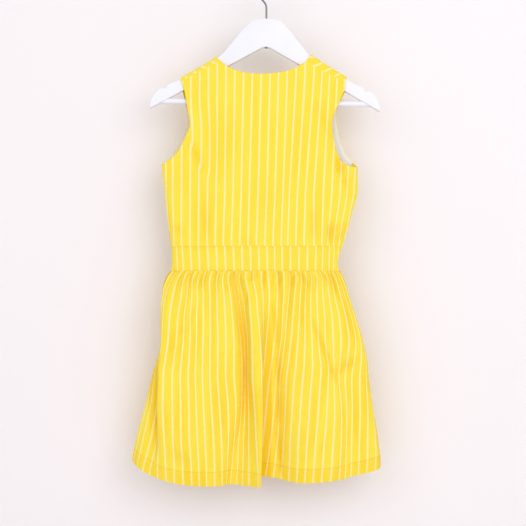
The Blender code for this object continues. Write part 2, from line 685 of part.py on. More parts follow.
def front_place(x, run):
    """Place of a point of the bodice front, which wraps over the hanger to the shoulder seam."""
    start = crest(x) - SHOULDER_DEPTH
    if run <= start:
        depth = bodice_depth(x, run, start) - crease_relief(x, run, FRONT_CREASES)
        return Vector((x, depth, run))
    turn = (run - start) / SHOULDER_DEPTH
    if turn <= math.pi:
        side = math.copysign(abs(math.cos(turn)) ** WRAP_SQUARENESS, math.cos(turn))
        rise = math.sin(turn) ** WRAP_SQUARENESS
        return Vector((x, (SHOULDER_DEPTH + 0.5 * SEAM_GAP) * side, start + SHOULDER_DEPTH * rise))
    return Vector((x, -SHOULDER_DEPTH - 0.5 * SEAM_GAP, start - (turn - math.pi) * SHOULDER_DEPTH))


def wrapped_run(x, height):
    """Length along the front panel of a point beyond the crest, on the viewer's side."""
    start = crest(x) - SHOULDER_DEPTH
    rise = height - start
    if rise <= 0.0:
        return start + math.pi * SHOULDER_DEPTH - rise
    turn = math.pi - math.asin(min(rise / SHOULDER_DEPTH, 1.0) ** (1.0 / WRAP_SQUARENESS))
    return start + turn * SHOULDER_DEPTH


def side_line(from_height, to_height, use_left):
    """Points down one side seam, ends included."""
    heights = np.linspace(from_height, to_height, SIDE_POINTS)
    return [(side_edges(height)[0 if use_left else 1], float(height)) for height in heights]


def spaced(points, step):
    """The same line with points no further apart than step."""
    result = [points[0]]
    for start, end in zip(points[:-1], points[1:]):
        parts = max(1, int(math.ceil(math.dist(start, end) / step)))
        for part in range(1, parts + 1):
            share = part / parts
            result.append((start[0] + (end[0] - start[0]) * share, start[1] + (end[1] - start[1]) * share))
    return result


def waist_line():
    """Lower edge of a bodice panel from right to left."""
    height = BAND_TOP_Z + 0.5 * SEAM_GAP
    left, right = side_edges(height)
    turns = np.linspace(0.5 * math.pi, -0.5 * math.pi, EDGE_POINTS)[1:-1]
    return [(0.5 * (left + right) + 0.5 * (right - left) * math.sin(turn), height) for turn in turns]


def back_outline():
    """Flat outline of the bodice back, as x and height."""
    foot = BAND_TOP_Z + 0.5 * SEAM_GAP
    outline = list(reversed(side_line(UNDERARM_LEFT_Z, foot, True)))
    outline += list(reversed(ARM_BACK_LEFT))[1:]
    outline += shoulder_seam(SEAM_LEFT)[1:]
    outline += NECK_BACK[1:]
    outline += shoulder_seam(SEAM_RIGHT)
    outline += ARM_BACK_RIGHT[1:]
    outline += side_line(UNDERARM_RIGHT_Z, foot, False)[1:]
    outline += waist_line()
    return outline


def shoulder_seam(points):
    """Points along one shoulder seam, the same ones for both panels."""
    return spaced(points, SEAM_SPACING)


def seam_run(points):
    """The shoulder seam's far side: the front panel's end, one seam gap above the back's."""
    return [(x, wrapped_run(x, height + SEAM_GAP)) for x, height in points]


def between(ends, share):
    """Value at a share of the way from one end to the other."""
    return ends[0] + (ends[1] - ends[0]) * share


def wrap_edge(ends, turns):
    """Edge of the front panel over the hanger, between the front side and the shoulder seam."""
    edge = []
    for turn in turns:
        x = between(ends, turn)
        edge.append((x, crest(x) - SHOULDER_DEPTH + turn * math.pi * SHOULDER_DEPTH))
    return edge


def front_outline():
    """Flat outline of the bodice front, as x and length along the cloth."""
    foot = BAND_TOP_Z + 0.5 * SEAM_GAP
    upward = WRAP_TURNS[:-1]
    downward = tuple(reversed(upward))
    outline = list(reversed(side_line(UNDERARM_LEFT_Z, foot, True)))
    outline += list(reversed(ARM_FRONT_LEFT))[1:]
    outline += wrap_edge(WRAP_ARM_LEFT, upward)
    outline += seam_run(shoulder_seam(SEAM_LEFT))
    outline += wrap_edge(WRAP_NECK_LEFT, downward)
    outline += NECK_FRONT
    outline += wrap_edge(WRAP_NECK_RIGHT, upward)
    outline += seam_run(shoulder_seam(SEAM_RIGHT))
    outline += wrap_edge(WRAP_ARM_RIGHT, downward)
    outline += ARM_FRONT_RIGHT
    outline += side_line(UNDERARM_RIGHT_Z, foot, False)[1:]
    outline += waist_line()
    return outline


def inside(point, outline, margin):
    """True for a point inside the outline and clear of it by the margin."""
    x, y = point
    crossing = False
    for (x0, y0), (x1, y1) in zip(outline, outline[1:] + outline[:1]):
        if (y0 > y) != (y1 > y) and x < (x1 - x0) * (y - y0) / (y1 - y0) + x0:
            crossing = not crossing
        run = Vector((x1 - x0, y1 - y0))
        offset = Vector((x - x0, y - y0))
        share = min(max(offset.dot(run) / max(run.length_squared, 1e-9), 0.0), 1.0)
        if (offset - run * share).length < margin:
            return False
    return crossing


def flat_mesh(outline, wrap_lines):
    """Triangles over a flat outline, with a grid inside it and rows along the shoulder wrap."""
    points = list(outline)
    low_x = min(point[0] for point in outline)
    high_x = max(point[0] for point in outline)
    low_y = min(point[1] for point in outline)
    high_y = max(point[1] for point in outline)
    grid = []
    for row, y in enumerate(np.arange(low_y + BODICE_STEP_Z, high_y, BODICE_STEP_Z)):
        shift = 0.5 * BODICE_STEP_X if row % 2 else 0.0
        for x in np.arange(low_x + shift, high_x, BODICE_STEP_X):
            grid.append((float(x), float(y)))
    for line in wrap_lines:
        grid = [point for point in grid if min(math.dist(point, spot) for spot in line) > WRAP_MARGIN]
    for line in wrap_lines:
        grid += line
    points += [point for point in grid if inside(point, outline, OUTLINE_MARGIN)]
    loop = list(range(len(outline)))
    if sum(a[0] * b[1] - b[0] * a[1] for a, b in zip(outline, outline[1:] + outline[:1])) < 0.0:
        loop.reverse()
    result = delaunay_2d_cdt([Vector(point) for point in points], [], [loop], 1, 1e-5)
    return [tuple(point) for point in result[0]], [tuple(face) for face in result[2]]


def sheet_normals(points, faces):
    """Unit normals at the points of a sheet."""
    normals = [Vector((0.0, 0.0, 0.0)) for _ in points]
    for face in faces:
        first, second, third = (points[index] for index in face[:3])
        normal = (second - first).cross(third - first)
        for index in face:
            normals[index] += normal
    return [normal.normalized() for normal in normals]


def bodice_panel(name, outline, place, outward_sign, wrap_lines, seam, material):
    """One bodice panel: a flat mesh laid on its form and given a wall on the inside."""
    flat, faces = flat_mesh(outline, wrap_lines)
    outer = [place(x, run) for x, run in flat]
    normals = sheet_normals(outer, faces)
    middle = min(range(len(flat)), key=lambda index: math.dist(flat[index], PANEL_MIDDLE))
    if normals[middle].y * outward_sign < 0.0:
        faces = [tuple(reversed(face)) for face in faces]
        normals = [-normal for normal in normals]
    foot = BAND_TOP_Z + 0.5 * SEAM_GAP
    inner = []
    for (x, run), point, normal in zip(flat, outer, normals):
        shift = -normal * CLOTH_WALL
        left, right = side_edges(run)
        if run < UNDERARM_LEFT_Z + 1.0 and x < left + 0.5:
            shift = Vector((CLOTH_WALL, 0.0, 0.0))
        if run < UNDERARM_RIGHT_Z + 1.0 and x > right - 0.5:
            shift = Vector((-CLOTH_WALL, 0.0, 0.0))
        if abs(run - foot) < 0.01:
            shift.z = 0.0
        if min(math.dist((x, run), spot) for spot in seam) < 0.01:
            shift = Vector((0.0, CLOTH_WALL, 0.0))
        inner.append(point + shift)
    points, walls = closed_shell(outer, inner, faces)
    add_body(name, points, walls, material)


def shoulder_rows():
    """Rows of points along the shoulder wrap of the bodice front."""
    rows = []
    for turn in WRAP_TURNS:
        neck_left = between(WRAP_NECK_LEFT, turn) - WRAP_NECK_CLEARANCE
        neck_right = between(WRAP_NECK_RIGHT, turn) + WRAP_NECK_CLEARANCE
        for low, high in ((WRAP_ARM_ENDS[0], neck_left), (neck_right, WRAP_ARM_ENDS[1])):
            for x in np.linspace(low, high, WRAP_POINTS):
                run = crest(x) - SHOULDER_DEPTH + turn * math.pi * SHOULDER_DEPTH
                rows.append((float(x), float(run)))
    return [rows]


# Armhole facings

def front_normal(x, run):
    """Outward normal of the bodice front below the shoulder wrap."""
    step = 1.0
    along = front_place(x + step, run) - front_place(x - step, run)
    upward = front_place(x, run + step) - front_place(x, run - step)
    normal = upward.cross(along).normalized()
    return normal if normal.y > 0.0 else -normal


def facing_strip(name, edge, toward_middle, material):
    """A narrow strip that finishes the inside of a front armhole."""
    line = [point for point in spaced(edge, FACING_SPACING) if FACING_FOOT_Z < point[1] < FACING_TOP_Z]
    outer, inner = [], []
    count = len(line)
    for number, (x, height) in enumerate(line):
        before = line[max(number - 1, 0)]
        after = line[min(number + 1, count - 1)]
        run = Vector((after[0] - before[0], after[1] - before[1])).normalized()
        across = Vector((-run.y, run.x))
        if across.x * toward_middle < 0.0:
            across = -across
        for share in (FACING_NEAR_SHARE, 1.0):
            px = x + across.x * FACING_WIDTH * share
            pz = height + across.y * FACING_WIDTH * share
            place = front_place(px, pz)
            inward = -front_normal(px, pz)
            outer.append(place + inward * (CLOTH_WALL + FACING_GAP))
            inner.append(place + inward * (CLOTH_WALL + FACING_GAP + FACING_WALL))
    faces = []
    for row in range(count - 1):
        first = row * 2
        faces.append((first, first + 1, first + 3, first + 2))
    normals = sheet_normals(outer, faces)
    if normals[0].y < 0.0:
        faces = [tuple(reversed(face)) for face in faces]
    points, walls = closed_shell(outer, inner, faces)
    add_body(name, points, walls, material)


# Hanger

def tilted(x, height):
    """Turn a point of the hanger body about the crown by the hang's tilt."""
    dz = height - CROWN_Z
    cos_tilt = math.cos(HANGER_TILT)
    sin_tilt = math.sin(HANGER_TILT)
    return x * cos_tilt + dz * sin_tilt, CROWN_Z + dz * cos_tilt - x * sin_tilt


def hanger_outline():
    """Closed outline of the hanger body before the tilt, counter-clockwise from the right tip."""
    upper_right = [(x, CROWN_Z - drop) for x, drop in reversed(HANGER_EDGE)]
    upper_left = [(-x, CROWN_Z - drop) for x, drop in HANGER_EDGE[1:]]
    lower = []
    for share in (*ARM_SHARES, 1.0):
        lower.append((-TIP_HALF_SPAN * (1.0 - share), CROWN_Z - TIP_DROP + (TIP_DROP - APEX_DROP) * share))
    for share in ARM_SHARES:
        lower.append((TIP_HALF_SPAN * share, CROWN_Z - APEX_DROP - (TIP_DROP - APEX_DROP) * share))
    return upper_right + upper_left + lower


def inset_outline(outline, amount):
    """The outline moved inwards by an amount."""
    moved = []
    count = len(outline)
    for index in range(count):
        before = Vector(outline[index - 1])
        here = Vector(outline[index])
        after = Vector(outline[(index + 1) % count])
        first = (here - before).normalized()
        second = (after - here).normalized()
        normal = Vector((-(first.y + second.y), first.x + second.x)).normalized()
        scale = 1.0 / max(normal.dot(Vector((-first.y, first.x))), 0.5)
        moved.append(tuple(here + normal * amount * scale))
    return moved


def hanger_body(material):
    """Flat shaped body with rounded edges and a drilled hole for the hook."""
    outline = hanger_outline()
    sections = [(depth - HANGER_HALF_DEPTH, amount) for depth, amount in EDGE_ROUNDING]
    sections += [(-depth, amount) for depth, amount in reversed(sections)]
    points, faces = [], []
    count = len(outline)
    for depth, amount in sections:
        for x, height in inset_outline(outline, amount):
            turned = tilted(x, height)
            points.append((turned[0], depth, turned[1]))
    for ring in range(len(sections) - 1):
        for index in range(count):
            after = (index + 1) % count
            first = ring * count
            faces.append((first + index, first + after, first + count + after, first + count + index))
    faces.append(tuple(reversed(range(count))))
    last = (len(sections) - 1) * count
    faces.append(tuple(range(last, last + count)))
    body = add_body("hanger_body", points, faces, material, smooth=False)
    flip_to_outside(body)
    drill = hole_cutter()
    cut = body.modifiers.new("hook hole", "BOOLEAN")
    cut.operation = "DIFFERENCE"
    cut.solver = "EXACT"
    cut.object = drill


def flip_to_outside(body):
    """Turn the faces outwards where the signed volume is negative."""
    mesh = body.data
    volume = 0.0
    for polygon in mesh.polygons:
        corners = [mesh.vertices[index].co for index in polygon.vertices]
        for second, third in zip(corners[1:-1], corners[2:]):
            volume += corners[0].dot(second.cross(third))
    if volume < 0.0:
        mesh.flip_normals()


def hole_cutter():
    """Drill for the hook's hole, kept as a hidden helper."""
    points, faces = [], []
    sides = HOLE_SIDES
    for height in (CROWN_Z + 5.0, CROWN_Z - APEX_DROP - 8.0):
        for side in range(sides):
            turn = 2.0 * math.pi * side / sides
            points.append((HOOK_HOLE_RADIUS * math.cos(turn), HOOK_HOLE_RADIUS * math.sin(turn), height))
    for side in range(sides):
        after = (side + 1) % sides
        faces.append((side, side + sides, after + sides, after))
    faces.append(tuple(range(sides)))
    faces.append(tuple(reversed(range(sides, 2 * sides))))
    drill = add_body("hook_hole_cutter", points, faces, bpy.data.materials["hanger_white"])
    flip_to_outside(drill)
    drill.hide_render = True
    drill.display_type = "WIRE"
    return drill


def hanger_bar(material):
    """Round trouser bar, its ends cut to the slope of the arms' underside."""
    sides = BAR_SIDES
    rise = (TIP_DROP - APEX_DROP) / TIP_HALF_SPAN
    gap = BAR_END_GAP * math.hypot(1.0, rise)
    points, faces = [], []
    for end in (-1.0, 1.0):
        for side in range(sides):
            turn = 2.0 * math.pi * side / sides
            drop = BAR_DROP - BAR_RADIUS * math.sin(turn)
            reach = (drop - APEX_DROP - gap) / rise
            turned = tilted(end * reach, CROWN_Z - drop)
            points.append((turned[0], BAR_RADIUS * math.cos(turn), turned[1]))
    for side in range(sides):
        after = (side + 1) % sides
        faces.append((side, after, sides + after, sides + side))
    faces.append(tuple(reversed(range(sides))))
    faces.append(tuple(range(sides, 2 * sides)))
    flip_to_outside(add_body("hanger_bar", points, faces, material))


def hook_centre_line():
    """Centre line of the hook's wire with its radius at each point: x, height, radius."""
    foot = CROWN_Z - APEX_DROP - RIVET_DROP
    line = [(0.0, foot - RIVET_HEAD, 2.4), (0.0, foot - 1.2, RIVET_RADIUS), (0.0, foot, RIVET_RADIUS)]
    line += [(0.0, foot + 0.05, WIRE_RADIUS), (0.0, foot + 20.0, WIRE_RADIUS)]
    line += [(x, height, WIRE_RADIUS) for x, height in HOOK_STEM]
    centre = WIRE_RADIUS - LOOP_RADIUS
    turn = LOOP_START_DEG
    while turn >= LOOP_END_DEG:
        angle = math.radians(turn)
        line.append((LOOP_RADIUS * math.cos(angle), centre + LOOP_RADIUS * math.sin(angle), WIRE_RADIUS))
        turn -= LOOP_STEP_DEG
    last_x, last_z, _ = line[-1]
    before_x, before_z, _ = line[-2]
    run = Vector((last_x - before_x, last_z - before_z)).normalized()
    line.append((last_x + run.x, last_z + run.y, HOOK_END_RADIUS))
    return line


def hanger_hook(material):
    """Bent wire hook with its riveted foot under the crown."""
    line = hook_centre_line()
    sides = HOOK_SIDES
    points, faces = [], []
    for index, (x, height, radius) in enumerate(line):
        before = line[max(index - 1, 0)]
        after = line[min(index + 1, len(line) - 1)]
        run = Vector((after[0] - before[0], 0.0, after[1] - before[1])).normalized()
        across = Vector((run.z, 0.0, -run.x))
        for side in range(sides):
            turn = 2.0 * math.pi * side / sides
            offset = across * math.cos(turn) * radius + Vector((0.0, 1.0, 0.0)) * math.sin(turn) * radius
            points.append(Vector((x, 0.0, height)) + offset)
    for ring in range(len(line) - 1):
        for side in range(sides):
            after = (side + 1) % sides
            first = ring * sides
            faces.append((first + side, first + after, first + sides + after, first + sides + side))
    faces.append(tuple(reversed(range(sides))))
    last = (len(line) - 1) * sides
    faces.append(tuple(range(last, last + sides)))
    flip_to_outside(add_body("hanger_hook", points, faces, material))


def main():
    """Build the whole garment and its hanger."""
    clear_scene()
    cloth = surface_material("striped_cotton", YELLOW_CLOTH, 0.82)
    facing = surface_material("facing_cotton", PALE_LINING, 0.88)
    paint = surface_material("hanger_white", WHITE_PAINT, 0.38)
    steel = surface_material("hook_steel", GREY_STEEL, 0.3, 1.0)
    seam_back = shoulder_seam(SEAM_LEFT) + shoulder_seam(SEAM_RIGHT)
    seam_front = seam_run(seam_back)
    bodice_panel("bodice_back", back_outline(), back_place, -1.0, [], seam_back, cloth)
    bodice_panel("bodice_front", front_outline(), front_place, 1.0, shoulder_rows(), seam_front, cloth)
    band_panel("waistband_back", -1.0, cloth)
    band_panel("waistband_front", 1.0, cloth)
    seams = skirt_panel(
        "skirt_back", GATHERS_BACK, HEM_BACK, SKIRT_BACK_CUT, -1.0,
        BACK_COLUMNS_A_GATHER, OVERLAP_COLUMNS, None, cloth)
    skirt_panel(
        "skirt_front", GATHERS_FRONT, HEM_FRONT, SKIRT_FRONT_CUT, 1.0,
        FRONT_COLUMNS_A_GATHER, (), seams, cloth)
    facing_strip("armhole_facing_left", ARM_FRONT_LEFT, 1.0, facing)
    facing_strip("armhole_facing_right", ARM_FRONT_RIGHT, -1.0, facing)
    hanger_body(paint)
    hanger_bar(paint)
    hanger_hook(steel)


main()
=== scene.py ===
"""Looks of the striped fit and flare dress on its hanger: cloth shells, stitching, finishes, light.

Tables are in millimetres, in the frame of the part: origin where the hook bears on a rail,
+X the viewer's right, -Y towards the viewer, who sees the garment's back, +Z up.
"""
import math

import bpy
import numpy as np
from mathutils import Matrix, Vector, noise
from mathutils.geometry import delaunay_2d_cdt

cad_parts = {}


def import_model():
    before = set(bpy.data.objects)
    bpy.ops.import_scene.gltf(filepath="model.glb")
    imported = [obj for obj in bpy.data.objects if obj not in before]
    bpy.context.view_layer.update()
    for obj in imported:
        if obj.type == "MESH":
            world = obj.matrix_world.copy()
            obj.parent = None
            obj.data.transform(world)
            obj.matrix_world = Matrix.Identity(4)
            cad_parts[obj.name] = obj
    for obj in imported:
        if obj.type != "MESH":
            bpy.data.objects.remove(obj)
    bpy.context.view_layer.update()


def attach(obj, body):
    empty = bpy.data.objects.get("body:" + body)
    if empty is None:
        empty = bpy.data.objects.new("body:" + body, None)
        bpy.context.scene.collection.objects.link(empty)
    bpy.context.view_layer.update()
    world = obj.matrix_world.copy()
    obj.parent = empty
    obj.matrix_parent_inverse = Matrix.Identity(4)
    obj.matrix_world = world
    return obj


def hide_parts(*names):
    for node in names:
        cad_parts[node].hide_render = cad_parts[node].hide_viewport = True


MM = 0.001
SHARP_ANGLE = math.radians(50.0)
BODY = "root"

# Cloth
SHELL = 0.55
HEM_SHELL = 1.3
BAND_SHELL = 1.0
OUTLINE_STEP = 4.0
EDGE_ROLL_RADIUS = 0.75
EDGE_ROLL_INSET = 0.35
EDGE_ROLL_SIDES = 10
SEAM_GAP = 0.04
STRIPE_PITCH = 16.0
STRIPE_SHARE = 0.2

# Heights of the seams
BAND_TOP_Z = -500.8
BAND_FOOT_Z = -547.8
UNDERARM_LEFT_Z = -348.2
UNDERARM_RIGHT_Z = -353.4

# Depth of the hanging garment
SHOULDER_DEPTH = 8.4
BODICE_DEPTH = 15.0
BAND_DEPTH = 14.0
SECTION_POWER = 2.5
SHOULDER_BLEND = 70.0
WRAP_SQUARENESS = 0.65

# Edges of the front panel over the hanger: x on the front side, x at the shoulder seam
WRAP_ARM_LEFT = (-160.8, -159.8)
WRAP_NECK_LEFT = (-98.0, -92.0)
WRAP_NECK_RIGHT = (88.5, 82.0)
WRAP_ARM_RIGHT = (152.4, 148.4)
WRAP_STEPS = 10

# Fold of the bodice back that laps over beside the left armhole
LAP_HEIGHTS = (-364.0, -296.0)
LAP_PLACES = (-119.0, -146.0)
LAP_WIDTH = 4.0

# Small unevenness of the cloth: shift of the seed, size, height
BODICE_RIPPLES = ((0.0, 60.0, 1.5), (5.0, 20.0, 0.55))
SKIRT_RIPPLES = ((0.0, 46.0, 1.2), (9.0, 17.0, 0.45))

# Waistband
BAND_ROWS = 26
BAND_COLUMNS = 180

# Skirt
BACK_CUT = 628.0
FRONT_CUT = 560.0
FIRST_STRIPE = 8.0
LOWEST_HEM = -955.0
LAST_FLARE = 0.45
GATHER_HEIGHT = 2.6
GATHER_REACH = 0.75
PUCKER_REACH = 0.42
# Painted shade in the gathers' valleys just under the band
PUCKER_PAINTED_SHADE = 0.85
SECTION_SAMPLES = 3000
GATHER_HEADING = 1.2
REACH_SCALE = 1.5
LASTING_GATHER = 0.07
HUNG_FLATNESS = 0.82
FLATNESS_REACH = 0.25
LARGEST_GAIN = 1.7
GAIN_STEPS = 24
SEAM_CALM_SHARE = 0.03
RELIEF_CALM_SHARE = 0.04
SKIRT_COLUMNS = 440
SKIRT_ROWS = 64
HEM_TURN_SHARE = 0.935
HEM_GROOVE_SHARE = 0.002
HEM_GROOVE = 0.35
HEM_ROWS = (0.95, 0.965, 0.98, 0.992, 0.998, 1.0)
HEM_ROUND_SHARE = 0.991
STITCH_LIFT = 0.12

# Painted fold shade of the cloth, mixed into its colour: how wide and how deep a valley counts, and the
# shares of painted shade
SHADE_WINDOW = 17.0
SHADE_START = 8.0
SHADE_DEPTH = 28.0
SLOPE_SHADE = 0.4
CREASE_SHADE_DEPTH = 6.0
BODICE_SHADE_DEPTH = 4.5
LARGEST_BODICE_SHADE = 0.75
SIDE_CALM_TOP_Z = -340.0
HEM_PAINTED_SHADE = 0.26
EDGE_PAINTED_SHADE = 0.1
FACING_TINT = 0.5

# Facings
FACING_WIDTH = 13.0
FACING_TOP_Z = -222.0
FACING_FOOT_Z = -345.0
FACING_SHARES = (0.03, 0.1, 0.3, 0.5, 0.62, 0.68, 0.74, 0.9, 0.97, 1.0)
FACING_STITCH_SHARE = 0.68

# Hanger
HANGER_TILT = math.radians(0.85)
CROWN_Z = -74.0
HANGER_HALF_DEPTH = 6.0
CREST_CLEARANCE = 3.9
WIRE_RADIUS = 1.75
LOOP_RADIUS = 21.0
RIVET_RADIUS = 3.4
RIVET_DROP = 2.6
BAR_RADIUS = 6.0
BAR_DROP = 157.0
APEX_DROP = 51.0
TIP_HALF_SPAN = 215.0
TIP_DROP = 171.5
BODY_BEVEL = 2.0
BEVEL_STEPS = 6
BAR_SIDES = 48
BAR_STATIONS = 41
BAR_GAP = 0.3
WIRE_SIDES = 24

# Rivet head under the crown: height above the wire's foot, radius
RIVET_HEAD = ((-1.6, 1.2), (-1.5, 2.6), (-1.0, RIVET_RADIUS), (-0.3, RIVET_RADIUS))

# Rounded end of the wire: distance past the loop's end, radius
WIRE_TIP = ((0.6, 1.45), (1.1, 0.7))

# Thread
STITCH_LENGTH = 2.3
STITCH_GAP = 0.7
STITCH_RADIUS = 0.16
STITCH_SIDES = 6

# One stitch from end to end: share of its length, share of its radius
STITCH_FORM = ((0.0, 0.35), (0.15, 0.85), (0.5, 1.0), (0.85, 0.85), (1.0, 0.35))

# Camera and room
CAMERA_DISTANCE = 2000.0
VIEW_WIDTH = 988.9
VIEW_CENTRE = (-6.4, -532.7)
WALL_Y = 92.0
WALL_HALF_WIDTH = 2600.0
WALL_HALF_HEIGHT = 1500.0
FLOOR_Z = -1500.0
FLOOR_HALF_WIDTH = 4000.0
SENSOR_WIDTH = 36.0
STUDIO_WHITE = (0.972, 0.975, 1.0)
WORLD_STRENGTH = 0.6
LIGHT_TARGET = (0.0, 0.0, -530.0)

# Soft lights: name, place, width and height, power
LIGHTS = [
    ("key_light", (1000.0, -2150.0, 250.0), (1700.0, 1700.0), 18.8),
    ("fill_light", (-1150.0, -2150.0, 300.0), (2000.0, 2000.0), 12.4),
    ("low_light", (0.0, -1900.0, -1400.0), (2400.0, 900.0), 4.6),
]

# Colours as seen on a screen, 0 to 255
YELLOW_LIGHT = (254, 232, 78)
YELLOW_DEEP = (254, 226, 64)
# Painted shade of soft gathers, laid in long streaks by noise
YELLOW_PAINTED_STREAK_SHADE = (253, 214, 44)
# Painted shade: orange mixed in where folds, creases, puckers, seams and the hem lie in shade
YELLOW_PAINTED_FOLD_SHADE = (252, 203, 16)
YELLOW_SHEEN = (255, 236, 150)
STRIPE_LIGHT = (255, 243, 180)
STRIPE_DEEP = (253, 236, 152)
# Painted shade of the white stripes where they lie in folds
STRIPE_PAINTED_FOLD_SHADE = (252, 222, 132)
FACING_LIGHT = (254, 253, 252)
FACING_DEEP = (252, 247, 242)
THREAD_LIGHT = (250, 214, 60)
THREAD_DEEP = (232, 190, 36)
PAINT_LIGHT = (247, 246, 250)
PAINT_DEEP = (239, 238, 244)
STEEL_LIGHT = (150, 152, 156)
STEEL_DEEP = (104, 106, 110)
WALL_LIGHT = (253, 248, 249)
WALL_DEEP = (251, 245, 246)
FLOOR_LIGHT = (238, 235, 234)
FLOOR_DEEP = (232, 229, 228)
THREAD_PITCH = 0.00042
STRIPE_SOFTNESS = 0.022

# Side outline of the dress: height, left edge, right edge
SIDES = [
    (-340, -197.2, 171.1),
    (-369.2, -194.8, 171.6),
    (-395.5, -191.4, 172),
    (-414.3, -190.3, 168.8),
    (-433.1, -188, 162.6),
    (-455.6, -185.2, 156.8),
    (-474.4, -182.4, 152),
    (-489.5, -180.1, 146.5),
    (-508.3, -178, 140.4),
    (-525.2, -177.1, 135.4),
    (-536.5, -177.5, 134.6),
    (-547.8, -180, 138.2),
    (-555.3, -185.6, 142.7),
    (-570.3, -191.8, 148.3),
    (-594.8, -195.5, 155.7),
    (-621.1, -197.2, 164.1),
    (-670, -197.8, 180.1),
    (-696.3, -201.3, 185.9),
    (-713.2, -206.6, 189.5),
    (-743.3, -214.4, 192.1),
    (-792.2, -226, 198.7),
    (-831.6, -236.7, 205.3),
    (-867.4, -245.3, 210.6),
    (-905, -252.9, 215.2),
    (-960, -255, 216),
]

# Back neckline from left to right: x, height
NECK_BACK = [
    (-84.9, -155.8), (-76.5, -163.3), (-67, -168.9), (-57.7, -172.7), (-42.1, -177.2),
    (-25.2, -179.4), (-9.4, -179.8), (7.7, -179.1), (23.3, -177.2), (38.9, -174),
    (56, -168), (66.9, -160.9), (73.5, -156.6),
]

# Front neckline from left to right below the shoulder wrap: x, height
NECK_FRONT = [
    (-98, -158.5), (-95, -170), (-87, -189), (-71, -210), (-50, -228),
    (-27, -239), (-4, -242.5), (19, -239), (42, -228), (62, -210),
    (77, -189), (85, -171), (88.5, -155.5),
]

# Shoulder seam on the viewer's side of the hanger: x, height
SEAM_LEFT = [(-159.6, -192.6), (-140.8, -182.4), (-124.6, -173.9), (-108.7, -166.1), (-84.9, -155.8)]
SEAM_RIGHT = [
    (73.5, -156.6), (90.4, -165.6), (104.7, -172.4), (119.2, -179.6), (133.5, -186.6), (148.0, -193.4),
]

# Armholes from shoulder to underarm: x, height
ARM_BACK_LEFT = [
    (-159.6, -192.6), (-155, -203), (-151.9, -215), (-149.6, -228), (-147.2, -241.3),
    (-143.8, -258.2), (-142.2, -271.4), (-144.2, -281.5), (-147.6, -290.2), (-153.6, -303.8),
    (-162.2, -319.3), (-170.9, -330.6), (-180.5, -339.1), (-190.1, -344.6), (-197.2, -348.2),
]
ARM_BACK_RIGHT = [
    (148, -193.4), (145.1, -209.4), (139.3, -224.4), (131.2, -241.3), (125.6, -252.6),
    (122.6, -265.8), (123, -284.6), (126, -303.4), (129.4, -317.6), (133.6, -330.3),
    (139.2, -341), (149.6, -349.8), (160, -352.9), (171.2, -353.4),
]
ARM_FRONT_LEFT = [
    (-160, -199), (-156, -215), (-153, -229), (-151, -243), (-149.4, -258),
    (-149.4, -271), (-151.2, -282), (-154.6, -291), (-160, -304), (-168, -319),
    (-176, -330), (-184, -338.4), (-191.5, -344.4), (-197.2, -348.2),
]
ARM_FRONT_RIGHT = [
    (150.5, -199), (146.5, -212), (140.5, -225), (134.4, -239), (131, -254.5),
    (132, -266), (134, -278), (138, -297.7), (143.6, -316), (150.8, -329.7),
    (160.4, -341), (171.2, -353.4),
]

# Creases of the bodice: start x, start height, end x, end height, depth, half width
BACK_CREASES = [
    (-116, -418, -112, -499, 1.9, 6.5),
    (88, -420, 90, -499, 2.1, 6),
    (121, -452, 118, -499, 2.6, 5.5),
    (130.5, -330, 140, -374, 3, 6.5),
    (96, -225, 130, -325, 1.5, 11),
    (-146, -296, -119, -364, 1.9, 6),
    (-184, -462, -150, -478, 1.4, 7),
    (150, -400, 168, -412, 1.2, 5),
    (143, -480, 120, -497, 1.5, 5),
    (-60, -486, -20, -499, 0.9, 8),
    (10, -340, -20, -470, 0.8, 22),
    (60, -260, 40, -420, 0.8, 20),
    (-90, -230, -84, -390, 0.9, 20),
    (128, -302, 135, -338, 2.2, 4),
    (134, -333, 147, -358, 2.4, 4),
    (129, -359, 150, -354, 2, 4),
    (145, -356, 152, -405, 2, 5),
    (135, -456, 122, -484, 2, 4.5),
    (150, -452, 137, -492, 1.8, 5),
    (118, -458, 121, -500, 1.6, 4),
]
FRONT_CREASES = [
    (-100, -415, -98, -499, 2.1, 6.5),
    (92, -415, 90, -499, 2.1, 6.5),
    (-144, -326, -88, -362, 2.1, 7),
    (134, -332, 80, -366, 2.1, 7),
    (-60, -262, -128, -300, 1.4, 11),
    (30, -262, 70, -330, 1, 16),
    (0, -330, -10, -470, 0.9, 22),
    (-150, -440, -120, -470, 1.3, 8),
]

# Creases of the waistband's back, given like those of the bodice
BAND_CREASES = [(-180.0, -512.0, -152.0, -534.0, 1.6, 4.0), (118.0, -541.0, 131.0, -526.0, 1.0, 4.0)]

# Where the bodice back's stripes run: stripe number, x at the neck, x at the bust, x at the waist
STRIPE_HEIGHTS = (-181.2, -404.9, -489.5)
STRIPES_BACK = [
    (-4, -221, -219, -205),
    (-2, -189.7, -188, -182),
    (-1, -173.7, -176, -173.9),
    (0, -157.7, -159, -159.4),
    (3, -108.3, -110, -110.9),
    (5, -75.4, -77.6, -80.7),
    (8, -26.1, -32.1, -34.4),
    (10, 6.8, 0.8, -3),
    (12, 38.7, 31.2, 27.6),
    (13, 55.5, 42.7, 39.5),
    (15, 89.1, 72.6, 70.3),
    (16, 104.2, 88.2, 89.1),
    (17, 118.3, 106.2, 104.2),
    (19, 147, 138, 126),
    (21, 179.2, 163.4, 147),
    (23, 212, 190, 168),
]

# Stripes of the waistband's back: stripe number and x at the band's middle
STRIPES_BAND = [
    (-3, -184), (-2, -178.5), (0, -156.8), (2, -125.8), (4, -92.7), (6, -61.1), (8, -29.5), (10, 1.3),
    (12, 29.3), (14, 60.7), (16, 92.3), (18, 117.7), (20, 134.8), (22, 146),
]

